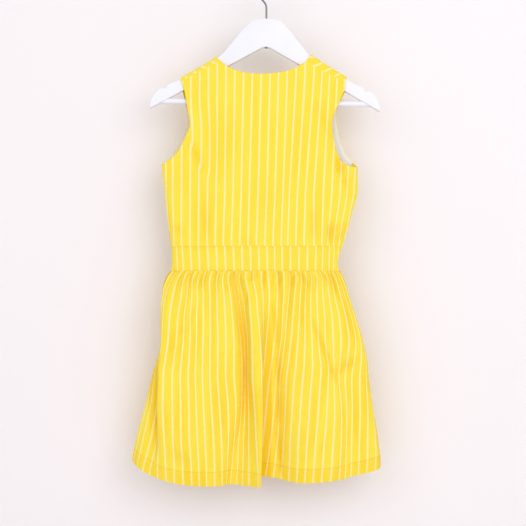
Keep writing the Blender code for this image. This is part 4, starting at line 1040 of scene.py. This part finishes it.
def waist_line(step):
    """Lower edge of a bodice panel from right to left."""
    height = BAND_TOP_Z + 0.5 * SEAM_GAP
    left, right = side_edges(height)
    count = int((right - left) / step)
    turns = np.linspace(0.5 * math.pi, -0.5 * math.pi, count)[1:-1]
    return [(0.5 * (left + right) + 0.5 * (right - left) * math.sin(turn), height) for turn in turns]


def back_outline(step):
    """Flat outline of the bodice back, as x and height."""
    foot = BAND_TOP_Z + 0.5 * SEAM_GAP
    outline = list(reversed(side_line(UNDERARM_LEFT_Z, foot, True, step)))
    outline += list(reversed(smooth_line(ARM_BACK_LEFT, step)))[1:]
    outline += smooth_line(SEAM_LEFT, step)[1:]
    outline += smooth_line(NECK_BACK, step)[1:]
    outline += smooth_line(SEAM_RIGHT, step)[1:]
    outline += smooth_line(ARM_BACK_RIGHT, step)[1:]
    outline += side_line(UNDERARM_RIGHT_Z, foot, False, step)[1:]
    outline += waist_line(step)
    return outline


def seam_run(points):
    """The shoulder seam's far side: the front panel's end, one seam gap above the back's."""
    return [(x, wrapped_run(x, height + SEAM_GAP)) for x, height in points]


def wrap_edge(ends, downward=False):
    """Edge of the front panel over the hanger, between the front side and the shoulder seam."""
    edge = []
    for part in range(WRAP_STEPS):
        turn = part / WRAP_STEPS
        x = ends[0] + (ends[1] - ends[0]) * turn
        edge.append((x, crest(x) - SHOULDER_DEPTH + turn * math.pi * SHOULDER_DEPTH))
    return list(reversed(edge)) if downward else edge


def front_outline(step):
    """Flat outline of the bodice front, as x and length along the cloth."""
    foot = BAND_TOP_Z + 0.5 * SEAM_GAP
    outline = list(reversed(side_line(UNDERARM_LEFT_Z, foot, True, step)))
    outline += list(reversed(smooth_line(ARM_FRONT_LEFT, step)))[1:]
    outline += wrap_edge(WRAP_ARM_LEFT)
    outline += seam_run(smooth_line(SEAM_LEFT, step))
    outline += wrap_edge(WRAP_NECK_LEFT, downward=True)
    outline += smooth_line(NECK_FRONT, step)
    outline += wrap_edge(WRAP_NECK_RIGHT)
    outline += seam_run(smooth_line(SEAM_RIGHT, step))
    outline += wrap_edge(WRAP_ARM_RIGHT, downward=True)
    outline += smooth_line(ARM_FRONT_RIGHT, step)
    outline += side_line(UNDERARM_RIGHT_Z, foot, False, step)[1:]
    outline += waist_line(step)
    return outline


def inside_mask(points, outline, margin):
    """True for each point inside the outline and clear of it by the margin."""
    spots = np.array(points)
    ring = np.array(outline)
    after = np.roll(ring, -1, axis=0)
    crossing = np.zeros(len(spots), dtype=bool)
    clear = np.ones(len(spots), dtype=bool)
    for (x0, y0), (x1, y1) in zip(ring, after):
        over = (y0 > spots[:, 1]) != (y1 > spots[:, 1])
        if abs(y1 - y0) > 1e-12:
            crossing ^= over & (spots[:, 0] < (x1 - x0) * (spots[:, 1] - y0) / (y1 - y0) + x0)
        run = np.array((x1 - x0, y1 - y0))
        offset = spots - np.array((x0, y0))
        share = np.clip(offset @ run / max(run @ run, 1e-9), 0.0, 1.0)
        clear &= np.hypot(*(offset - np.outer(share, run)).T) > margin
    return crossing & clear


def flat_mesh(outline, step):
    """Triangles over a flat outline, with an even grid inside it."""
    xs = [point[0] for point in outline]
    ys = [point[1] for point in outline]
    grid = []
    for row, y in enumerate(np.arange(min(ys) + step * 0.8, max(ys), step * 0.87)):
        shift = 0.5 * step if row % 2 else 0.0
        grid += [(float(x), float(y)) for x in np.arange(min(xs) + shift, max(xs), step)]
    keep = inside_mask(grid, outline, step * 0.45)
    points = list(outline) + [spot for spot, kept in zip(grid, keep) if kept]
    loop = list(range(len(outline)))
    area = sum(a[0] * b[1] - b[0] * a[1] for a, b in zip(outline, outline[1:] + outline[:1]))
    if area < 0.0:
        loop.reverse()
    result = delaunay_2d_cdt([Vector(point) for point in points], [], [loop], 1, 1e-5)
    return [tuple(point) for point in result[0]], [tuple(face) for face in result[2]]


def sheet_normals(points, faces):
    """Unit normals at the points of a sheet."""
    normals = [Vector((0.0, 0.0, 0.0)) for _ in points]
    for face in faces:
        first, second, third = (points[index] for index in face[:3])
        normal = (second - first).cross(third - first)
        for index in face:
            normals[index] += normal
    return [normal.normalized() for normal in normals]


def bodice_panel(name, outline, place, cut_place, creases, outward_sign, step, material):
    """One bodice panel: a flat mesh laid on its form, as a thin shell."""
    flat, faces = flat_mesh(outline, step)
    outer = [place(x, run) for x, run in flat]
    normals = sheet_normals(outer, faces)
    middle = min(range(len(flat)), key=lambda index: math.dist(flat[index], (0.0, -400.0)))
    if normals[middle].y * outward_sign < 0.0:
        faces = [tuple(reversed(face)) for face in faces]
        normals = [-normal for normal in normals]
    inner = []
    for (x, run), point, normal in zip(flat, outer, normals):
        left, right = side_edges(run)
        shift = -normal * SHELL
        if run < UNDERARM_LEFT_Z + 0.5 and x < left + 0.2:
            shift = Vector((SHELL, 0.0, 0.0))
        if run < UNDERARM_RIGHT_Z + 0.5 and x > right - 0.2:
            shift = Vector((-SHELL, 0.0, 0.0))
        inner.append(point + shift)
    cut = [(cut_place(x, run) * MM, run * MM, crease_painted_shade(x, run, creases)) for x, run in flat]
    points, walls = closed_shell(outer, inner, faces)
    return add_piece(name, points, walls, material, cut + cut)


def edge_roll(name, edge, place, cut_place, inward, material):
    """The turned edge of a neckline or armhole: a soft round fold along the panel's edge."""
    line = smooth_line(edge, 3.0)
    centres = [place(x, run) + Vector((0.0, inward * EDGE_ROLL_INSET, 0.0)) for x, run in line]
    points, faces = tube(centres, [EDGE_ROLL_RADIUS] * len(centres), EDGE_ROLL_SIDES)
    cut = []
    for x, run in line:
        # Slight painted shade along the turned edge
        cut += [(cut_place(x, run) * MM, run * MM, EDGE_PAINTED_SHADE)] * EDGE_ROLL_SIDES
    return add_piece(name, points, faces, material, cut)


# Stitching

def stitch_row(name, line, material):
    """A row of separate thread stitches along a line of places."""
    points, faces = [], []
    distances = [0.0]
    for start, end in zip(line, line[1:]):
        distances.append(distances[-1] + (end - start).length)
    axes = np.array(line).T
    radii = [STITCH_RADIUS * width for _, width in STITCH_FORM]
    place = 0.5 * STITCH_GAP
    while place + STITCH_LENGTH < distances[-1]:
        stops = [place + STITCH_LENGTH * share for share, _ in STITCH_FORM]
        centres = [Vector([np.interp(stop, distances, axis) for axis in axes]) for stop in stops]
        more_points, more_faces = tube(centres, radii, STITCH_SIDES)
        base = len(points)
        points += more_points
        faces += [tuple(index + base for index in face) for face in more_faces]
        place += STITCH_LENGTH + STITCH_GAP
    return add_piece(name, points, faces, material)


# Armhole facings

def facing_strip(name, edge, toward_middle, material):
    """The strip that finishes the inside of a front armhole, with its stitched inner edge."""
    line = [point for point in smooth_line(edge, 4.0) if FACING_FOOT_Z < point[1] < FACING_TOP_Z]
    outer, inner, cut = [], [], []
    for number, (x, height) in enumerate(line):
        before = line[max(number - 1, 0)]
        after = line[min(number + 1, len(line) - 1)]
        run = Vector((after[0] - before[0], after[1] - before[1])).normalized()
        across = Vector((-run.y, run.x))
        if across.x * toward_middle < 0.0:
            across = -across
        for share in FACING_SHARES:
            px = x + across.x * FACING_WIDTH * share
            pz = height + across.y * FACING_WIDTH * share
            depth = front_place(px, pz).y - SHELL
            dip = 0.3 if share == FACING_STITCH_SHARE else 0.0
            lift = 0.25 * math.sin(height * 0.9 + share * 3.0) * share
            outer.append(Vector((px, depth - 0.25, pz)))
            inner.append(Vector((px, depth - 0.9 + dip - lift, pz)))
            cut.append((number * 4.0 * MM, share * FACING_WIDTH * MM, FACING_TINT))
    faces = grid_faces(len(line), len(FACING_SHARES), False)
    if sheet_normals(outer, faces)[0].y < 0.0:
        faces = [tuple(reversed(face)) for face in faces]
    points, walls = closed_shell(outer, inner, faces)
    return add_piece(name, points, walls, material, cut + cut)


# Hanger

def tilted(x, height):
    """Turn a point of the hanger body about the crown by the hang's tilt."""
    dz = height - CROWN_Z
    cos_tilt = math.cos(HANGER_TILT)
    sin_tilt = math.sin(HANGER_TILT)
    return x * cos_tilt + dz * sin_tilt, CROWN_Z + dz * cos_tilt - x * sin_tilt


def hanger_outline():
    """Closed smooth outline of the hanger body before the tilt."""
    half = smooth_line(HANGER_EDGE, 2.2)
    upper_right = [(x, CROWN_Z - drop) for x, drop in reversed(half)]
    upper_left = [(-x, CROWN_Z - drop) for x, drop in half[1:]]
    lower = []
    for share in np.linspace(0.04, 1.0, 25):
        soft = 2.2 * math.exp(-((1.0 - share) * TIP_HALF_SPAN / 5.0) ** 2)
        drop = TIP_DROP - (TIP_DROP - APEX_DROP) * share + soft
        lower.append((-TIP_HALF_SPAN * (1.0 - share), CROWN_Z - drop))
    lower += [(-x, height) for x, height in reversed(lower[:-1])]
    return upper_right + upper_left + lower


def inset_outline(outline, amount):
    """The outline moved inwards by an amount."""
    moved = []
    count = len(outline)
    for index in range(count):
        before = Vector(outline[index - 1])
        here = Vector(outline[index])
        after = Vector(outline[(index + 1) % count])
        first = (here - before).normalized()
        second = (after - here).normalized()
        normal = Vector((-(first.y + second.y), first.x + second.x)).normalized()
        scale = 1.0 / max(normal.dot(Vector((-first.y, first.x))), 0.6)
        moved.append(tuple(here + normal * amount * scale))
    for _ in range(6):
        for index in range(count):
            after = (index + 1) % count
            run = Vector(outline[after]) - Vector(outline[index])
            if run.dot(Vector(moved[after]) - Vector(moved[index])) <= 0.0:
                middle = (Vector(moved[after]) + Vector(moved[index])) * 0.5
                moved[index] = tuple(middle - run * 0.02)
                moved[after] = tuple(middle + run * 0.02)
    return moved


def hanger_body(material):
    """Shaped wooden body with well rounded edges."""
    outline = hanger_outline()
    sections = []
    for part in range(BEVEL_STEPS, -1, -1):
        turn = 0.5 * math.pi * part / BEVEL_STEPS
        inset = BODY_BEVEL * (1.0 - math.cos(turn))
        sections.append((-HANGER_HALF_DEPTH + BODY_BEVEL * (1.0 - math.sin(turn)), inset))
    sections += [(-depth, amount) for depth, amount in reversed(sections)]
    points = []
    for depth, amount in sections:
        for x, height in inset_outline(outline, amount):
            turned = tilted(x, height)
            points.append((turned[0], depth, turned[1]))
    faces = ring_faces(len(sections), len(outline))
    return turn_outside(add_piece("hanger_wood", points, faces, material))


def turn_outside(piece):
    """Turn the faces outwards where the signed volume is negative."""
    mesh = piece.data
    volume = 0.0
    for polygon in mesh.polygons:
        corners = [mesh.vertices[index].co for index in polygon.vertices]
        for second, third in zip(corners[1:-1], corners[2:]):
            volume += corners[0].dot(second.cross(third))
    if volume < 0.0:
        mesh.flip_normals()
    return piece


def hanger_bar(material):
    """Round trouser bar, its ends cut to the slope of the arms' underside."""
    slope = (TIP_DROP - APEX_DROP) / TIP_HALF_SPAN
    gap = BAR_GAP * math.hypot(1.0, slope)
    points = []
    for station in np.linspace(-1.0, 1.0, BAR_STATIONS):
        for side in range(BAR_SIDES):
            turn = 2.0 * math.pi * side / BAR_SIDES
            drop = BAR_DROP - BAR_RADIUS * math.sin(turn)
            turned = tilted(station * (drop - APEX_DROP - gap) / slope, CROWN_Z - drop)
            points.append((turned[0], BAR_RADIUS * math.cos(turn), turned[1]))
    faces = ring_faces(BAR_STATIONS, BAR_SIDES)
    return turn_outside(add_piece("hanger_round_bar", points, faces, material))


def loop_point(angle_deg):
    """A point of the hook's loop, as x and height."""
    angle = math.radians(angle_deg)
    return LOOP_RADIUS * math.cos(angle), WIRE_RADIUS - LOOP_RADIUS + LOOP_RADIUS * math.sin(angle)


def hanger_hook(material):
    """Bent wire hook with its riveted foot under the crown."""
    foot = CROWN_Z - APEX_DROP - RIVET_DROP
    stem = [(0.0, foot), *HOOK_STEM, *(loop_point(angle_deg) for angle_deg in LOOP_BEND_DEG)]
    wire = smooth_line(stem, 2.5)
    angle_deg = LOOP_START_DEG
    while angle_deg >= LOOP_END_DEG:
        wire.append(loop_point(angle_deg))
        angle_deg -= LOOP_STEP_DEG
    end = Vector(wire[-1])
    run = (end - Vector(wire[-2])).normalized()
    wire += [tuple(end + run * reach) for reach, _ in WIRE_TIP]
    line = [(0.0, foot + rise) for rise, _ in RIVET_HEAD] + wire
    radii = [radius for _, radius in RIVET_HEAD]
    radii += [WIRE_RADIUS] * (len(wire) - len(WIRE_TIP)) + [radius for _, radius in WIRE_TIP]
    points, faces = tube([Vector((x, 0.0, height)) for x, height in line], radii, WIRE_SIDES)
    return turn_outside(add_piece("hanger_wire_hook", points, faces, material))


# Materials

class Shader:
    """A node material with a few short ways to add nodes."""

    def __init__(self, name):
        self.material = bpy.data.materials.new(name)
        self.material.use_nodes = True
        self.nodes = self.material.node_tree.nodes
        self.links = self.material.node_tree.links
        self.surface = self.nodes["Principled BSDF"]

    def set(self, **values):
        """Set the surface's own plain values, with underscores for spaces."""
        for name, value in values.items():
            self.surface.inputs[name.replace("_", " ")].default_value = value

    def feed(self, source, name):
        """Join an output to an input of the surface."""
        self.links.new(source, self.surface.inputs[name])

    def link(self, source, target):
        """Join an output to an input, or set a plain value."""
        if isinstance(source, bpy.types.NodeSocket):
            self.links.new(source, target)
        else:
            target.default_value = source

    def math(self, operation, first, second=0.0, third=0.0, clamp=False):
        """One math node."""
        node = self.nodes.new("ShaderNodeMath")
        node.operation = operation
        node.use_clamp = clamp
        for value, socket in zip((first, second, third), node.inputs):
            self.link(value, socket)
        return node.outputs[0]

    def mix(self, share, first, second):
        """Mix two colours by a share."""
        node = self.nodes.new("ShaderNodeMix")
        node.data_type = "RGBA"
        self.link(share, node.inputs["Factor"])
        self.link(first, node.inputs["A"])
        self.link(second, node.inputs["B"])
        return node.outputs["Result"]

    def blend(self, share, first, second):
        """Mix two colours that are given as seen on a screen."""
        return self.mix(share, linear_colour(first), linear_colour(second))

    def noise(self, vector, scale, detail, roughness=0.5):
        """A noise texture's value."""
        node = self.nodes.new("ShaderNodeTexNoise")
        self.link(vector, node.inputs["Vector"])
        node.inputs["Scale"].default_value = scale
        node.inputs["Detail"].default_value = detail
        node.inputs["Roughness"].default_value = roughness
        return node.outputs["Fac"]

    def attribute(self, name):
        """A vector attribute of the mesh, with its three parts."""
        node = self.nodes.new("ShaderNodeAttribute")
        node.attribute_name = name
        parts = self.nodes.new("ShaderNodeSeparateXYZ")
        self.links.new(node.outputs["Vector"], parts.inputs[0])
        return node.outputs["Vector"], parts.outputs[0], parts.outputs[1], parts.outputs[2]

    def stretched(self, along, down, share):
        """Cloth coordinates with the length drawn together, for marks that run down the cloth."""
        node = self.nodes.new("ShaderNodeCombineXYZ")
        self.link(along, node.inputs["X"])
        self.link(self.math("MULTIPLY", down, share), node.inputs["Y"])
        return node.outputs[0]

    def place(self):
        """The piece's own coordinates."""
        node = self.nodes.new("ShaderNodeTexCoord")
        return node.outputs["Object"]

    def bump(self, height, strength, distance, normal=None):
        """A bump from a height."""
        node = self.nodes.new("ShaderNodeBump")
        node.inputs["Strength"].default_value = strength
        node.inputs["Distance"].default_value = distance
        self.link(height, node.inputs["Height"])
        if normal is not None:
            self.link(normal, node.inputs["Normal"])
        return node.outputs["Normal"]


def weave_height(shader, along, across):
    """Height of a plain weave: threads going over and under each other."""
    turn = math.pi / THREAD_PITCH
    warp = shader.math("SINE", shader.math("MULTIPLY", along, turn))
    weft = shader.math("SINE", shader.math("MULTIPLY", across, turn))
    cells = shader.math("MULTIPLY", warp, weft)
    ridges = shader.math("ADD", shader.math("ABSOLUTE", warp), shader.math("ABSOLUTE", weft))
    return shader.math("MULTIPLY_ADD", cells, 0.6, shader.math("MULTIPLY", ridges, 0.4))


def stripe_mask(shader, cut, along):
    """1 on the white stripes of the cloth and 0 between them, with soft edges."""
    wander = shader.math("MULTIPLY_ADD", shader.noise(cut, 160.0, 2.0), 0.0006, -0.0003)
    stripe_at = shader.math("ADD", along, wander)
    repeats = shader.math("DIVIDE", stripe_at, STRIPE_PITCH * MM)
    repeat = shader.math("FRACT", shader.math("ADD", repeats, 0.5))
    from_middle = shader.math("ABSOLUTE", shader.math("SUBTRACT", repeat, 0.5))
    inside = shader.math("SUBTRACT", STRIPE_SHARE * 0.5 + STRIPE_SOFTNESS, from_middle)
    return shader.math("DIVIDE", inside, 2.0 * STRIPE_SOFTNESS, clamp=True)


def striped_cotton(name, streak_shade_strength):
    """Yellow cotton poplin with narrow white stripes woven along the grain, with painted shade in its folds
    and in soft streaks down the cloth.
    """
    shader = Shader(name)
    cut, along, down, share = shader.attribute("cut")
    stripe = stripe_mask(shader, cut, along)
    shade = shader.noise(cut, 9.0, 3.0, 0.6)
    slub = shader.noise(cut, 900.0, 2.0, 0.7)
    shade = shader.math("MULTIPLY_ADD", shade, 1.4, -0.2, clamp=True)
    yellow = shader.blend(shade, YELLOW_LIGHT, YELLOW_DEEP)
    # Painted shade of soft gathers: long streaks of gold placed by noise
    painted_streak_shade = shader.noise(shader.stretched(along, down, 0.14), 42.0, 3.0, 0.55)
    painted_streak_shade = shader.math("MULTIPLY_ADD", painted_streak_shade, 3.2 * streak_shade_strength, -1.45 * streak_shade_strength, clamp=True)
    yellow = shader.mix(painted_streak_shade, yellow, linear_colour(YELLOW_PAINTED_STREAK_SHADE))
    # Painted fold shade, from the cut's third part, mixed into the yellow and the white stripes
    yellow = shader.mix(share, yellow, linear_colour(YELLOW_PAINTED_FOLD_SHADE))
    white = shader.mix(share, shader.blend(slub, STRIPE_LIGHT, STRIPE_DEEP), linear_colour(STRIPE_PAINTED_FOLD_SHADE))
    tone = shader.nodes.new("ShaderNodeMix")
    tone.data_type = "RGBA"
    tone.blend_type = "MULTIPLY"
    tone.inputs["Factor"].default_value = 1.0
    grey = shader.nodes.new("ShaderNodeCombineColor")
    thread_tone = shader.math("MULTIPLY_ADD", slub, 0.16, 0.92)
    for socket in grey.inputs:
        shader.link(thread_tone, socket)
    shader.link(shader.mix(stripe, yellow, white), tone.inputs["A"])
    shader.link(grey.outputs[0], tone.inputs["B"])
    shader.feed(tone.outputs["Result"], "Base Color")
    shader.feed(shader.math("MULTIPLY_ADD", slub, 0.14, 0.72), "Roughness")
    shader.set(Specular_IOR_Level=0.25, Sheen_Weight=0.25, Sheen_Roughness=0.4)
    shader.set(Sheen_Tint=linear_colour(YELLOW_SHEEN))
    woven = shader.bump(weave_height(shader, along, down), 0.35, 0.00012)
    raised = shader.bump(stripe, 0.25, 0.00015, woven)
    shader.feed(shader.bump(shader.noise(cut, 70.0, 4.0, 0.55), 0.35, 0.0012, raised), "Normal")
    return shader.material


def facing_cotton():
    """Pale plain cotton of the armhole facings."""
    shader = Shader("pale_facing_cloth")
    cut, along, down, _ = shader.attribute("cut")
    slub = shader.noise(cut, 700.0, 3.0, 0.7)
    shader.feed(shader.blend(slub, FACING_LIGHT, FACING_DEEP), "Base Color")
    shader.feed(shader.math("MULTIPLY_ADD", slub, 0.12, 0.78), "Roughness")
    shader.set(Specular_IOR_Level=0.2)
    woven = shader.bump(weave_height(shader, along, down), 0.4, 0.00012)
    shader.feed(shader.bump(slub, 0.2, 0.0002, woven), "Normal")
    return shader.material


def thread_material():
    """Yellow sewing thread with its twist."""
    shader = Shader("sewing_thread")
    twist = shader.noise(shader.place(), 2600.0, 2.0)
    shader.feed(shader.blend(twist, THREAD_LIGHT, THREAD_DEEP), "Base Color")
    shader.feed(shader.math("MULTIPLY_ADD", twist, 0.2, 0.5), "Roughness")
    shader.feed(shader.bump(twist, 0.5, 0.0001), "Normal")
    return shader.material


def painted_wood():
    """White satin paint on wood: faint grain, slight brush unevenness."""
    shader = Shader("white_satin_paint")
    place = shader.place()
    stretch = shader.nodes.new("ShaderNodeMapping")
    shader.link(place, stretch.inputs["Vector"])
    stretch.inputs["Scale"].default_value = (14.0, 60.0, 160.0)
    grain = shader.noise(stretch.outputs[0], 3.0, 5.0, 0.6)
    cloud = shader.noise(place, 22.0, 3.0)
    shader.feed(shader.blend(cloud, PAINT_LIGHT, PAINT_DEEP), "Base Color")
    shader.feed(shader.math("MULTIPLY_ADD", cloud, 0.16, 0.3), "Roughness")
    shader.set(Coat_Weight=0.25, Coat_Roughness=0.25)
    brushed = shader.bump(grain, 0.14, 0.0006)
    shader.feed(shader.bump(shader.noise(place, 380.0, 2.0), 0.06, 0.0003, brushed), "Normal")
    return shader.material


def hook_steel():
    """Drawn steel wire with fine lines and a darker tarnish."""
    shader = Shader("drawn_steel_wire")
    fine = shader.noise(shader.place(), 900.0, 3.0)
    cloud = shader.noise(shader.place(), 60.0, 3.0)
    shader.feed(shader.blend(cloud, STEEL_LIGHT, STEEL_DEEP), "Base Color")
    shader.feed(shader.math("MULTIPLY_ADD", fine, 0.22, 0.2), "Roughness")
    shader.feed(shader.bump(fine, 0.15, 0.0001), "Normal")
    shader.set(Metallic=1.0)
    return shader.material


def wall_paint():
    """Matt wall behind the dress. Seen from its back it is clear, so it hides nothing."""
    shader = Shader("studio_wall")
    tone = shader.noise(shader.place(), 1.2, 2.0)
    shader.feed(shader.blend(tone, WALL_LIGHT, WALL_DEEP), "Base Color")
    shader.set(Roughness=0.9, Specular_IOR_Level=0.1)
    geometry = shader.nodes.new("ShaderNodeNewGeometry")
    clear = shader.nodes.new("ShaderNodeBsdfTransparent")
    pick = shader.nodes.new("ShaderNodeMixShader")
    shader.links.new(geometry.outputs["Backfacing"], pick.inputs[0])
    shader.links.new(shader.surface.outputs[0], pick.inputs[1])
    shader.links.new(clear.outputs[0], pick.inputs[2])
    shader.links.new(pick.outputs[0], shader.nodes["Material Output"].inputs["Surface"])
    return shader.material


def floor_paint():
    """Plain pale floor."""
    shader = Shader("studio_floor")
    tone = shader.noise(shader.place(), 3.0, 3.0)
    shader.feed(shader.blend(tone, FLOOR_LIGHT, FLOOR_DEEP), "Base Color")
    shader.set(Roughness=0.7)
    return shader.material


# Room

def stage_plane(name, corners, material):
    """A flat stage piece."""
    mesh = bpy.data.meshes.new(name)
    mesh.from_pydata([Vector(corner) * MM for corner in corners], [], [(0, 1, 2, 3)])
    mesh.materials.append(material)
    plane = bpy.data.objects.new(name, mesh)
    bpy.context.scene.collection.objects.link(plane)
    return plane


def build_room():
    """Wall close behind the dress and a pale floor."""
    wide, tall, far = WALL_HALF_WIDTH, WALL_HALF_HEIGHT, FLOOR_HALF_WIDTH
    wall = [(-wide, WALL_Y, -tall), (wide, WALL_Y, -tall), (wide, WALL_Y, tall), (-wide, WALL_Y, tall)]
    stage_plane("backdrop_wall", wall, wall_paint())
    floor = [(-far, -far, FLOOR_Z), (far, -far, FLOOR_Z), (far, far, FLOOR_Z), (-far, far, FLOOR_Z)]
    stage_plane("studio_floor", floor, floor_paint())


def area_light(name, place, size, energy):
    """One soft light aimed at the middle of the dress."""
    data = bpy.data.lights.new(name, "AREA")
    data.shape = "RECTANGLE"
    data.size, data.size_y = size[0] * MM, size[1] * MM
    data.energy = energy
    data.color = STUDIO_WHITE
    light = bpy.data.objects.new(name, data)
    light.location = Vector(place) * MM
    light.rotation_mode = "QUATERNION"
    light.rotation_quaternion = (Vector(LIGHT_TARGET) - Vector(place)).to_track_quat("-Z", "Y")
    bpy.context.scene.collection.objects.link(light)


def build_light():
    """Bright even light from the front, with a soft fill from all around."""
    for row in LIGHTS:
        area_light(*row)
    world = bpy.data.worlds.new("studio_world")
    world.use_nodes = True
    background = world.node_tree.nodes["Background"]
    background.inputs["Color"].default_value = (*STUDIO_WHITE, 1.0)
    background.inputs["Strength"].default_value = WORLD_STRENGTH
    bpy.context.scene.world = world
    bpy.context.scene.view_settings.view_transform = "Standard"


def build_camera():
    """Camera square to the wall at the photograph's height and distance."""
    data = bpy.data.cameras.new("photo_camera")
    data.sensor_width = SENSOR_WIDTH
    data.lens = SENSOR_WIDTH * CAMERA_DISTANCE / VIEW_WIDTH
    camera = bpy.data.objects.new("photo_camera", data)
    camera.location = Vector((VIEW_CENTRE[0], -CAMERA_DISTANCE, VIEW_CENTRE[1])) * MM
    camera.rotation_euler = (math.radians(90.0), 0.0, 0.0)
    bpy.context.scene.collection.objects.link(camera)
    bpy.context.scene.camera = camera


# The dress

def edge_rolls(side, edges, place, cut_place, inward, cloth):
    """The turned edges of one bodice panel."""
    labels = ("neck", "arm_left", "arm_right")
    return [
        edge_roll(f"{side}_edge_{label}", edge, place, cut_place, inward, cloth)
        for label, edge in zip(labels, edges)
    ]


def build_bodice(cloth):
    """Bodice back and front with their turned edges."""
    step = 4.6
    back = bodice_panel(
        "bodice_back_cloth", back_outline(OUTLINE_STEP), back_place, back_cut, BACK_CREASES, -1.0,
        step, cloth)
    front = bodice_panel(
        "bodice_front_cloth", front_outline(OUTLINE_STEP), front_place, front_cut, FRONT_CREASES, 1.0,
        step, cloth)
    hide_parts("bodice_back")
    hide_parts("bodice_front")
    rolls_back = edge_rolls(
        "back", (NECK_BACK, ARM_BACK_LEFT, ARM_BACK_RIGHT), back_place, back_cut, 1.0, cloth)
    rolls_front = edge_rolls(
        "front", (NECK_FRONT, ARM_FRONT_LEFT, ARM_FRONT_RIGHT), front_place, front_cut, -1.0, cloth)
    return [back, front, *rolls_back, *rolls_front]


def build_band(cloth):
    """Waistband back and front."""
    back = band_panel("waistband_back_cloth", -1.0, cloth)
    front = band_panel("waistband_front_cloth", 1.0, cloth)
    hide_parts("waistband_back")
    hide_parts("waistband_front")
    return [back, front]


def build_skirt(cloth, thread):
    """Gathered skirt back and front with the hem's stitching."""
    back, seams, line_back = skirt_panel(
        "skirt_back_cloth", GATHERS_BACK, BACK_CUT, HEM_BACK, -1.0, None, cloth, 61.0)
    front, _, line_front = skirt_panel(
        "skirt_front_cloth", GATHERS_FRONT, FRONT_CUT, HEM_FRONT, 1.0, seams, cloth, 83.0)
    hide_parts("skirt_back")
    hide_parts("skirt_front")
    stitches = [
        stitch_row("hem_stitches_back", line_back, thread),
        stitch_row("hem_stitches_front", line_front, thread),
    ]
    return [back, front, *stitches]


def build_facings(material):
    """Pale strips inside the front armholes."""
    left = facing_strip("facing_left_cloth", ARM_FRONT_LEFT, 1.0, material)
    right = facing_strip("facing_right_cloth", ARM_FRONT_RIGHT, -1.0, material)
    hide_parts("armhole_facing_left")
    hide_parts("armhole_facing_right")
    return [left, right]


def build_hanger():
    """White hanger with its bar and wire hook."""
    paint = painted_wood()
    body = hanger_body(paint)
    bar = hanger_bar(paint)
    hook = hanger_hook(hook_steel())
    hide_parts("hanger_body")
    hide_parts("hanger_bar")
    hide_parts("hanger_hook")


def main():
    """Load the frame, dress it and light it."""
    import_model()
    cloth = striped_cotton("striped_cotton_bodice", 0.4)
    skirt_cloth = striped_cotton("striped_cotton_skirt", 1.0)
    thread = thread_material()
    pieces = build_bodice(cloth) + build_band(cloth) + build_skirt(skirt_cloth, thread)
    for piece in build_facings(facing_cotton()):
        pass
    build_hanger()
    build_room()
    build_light()
    build_camera()


main()
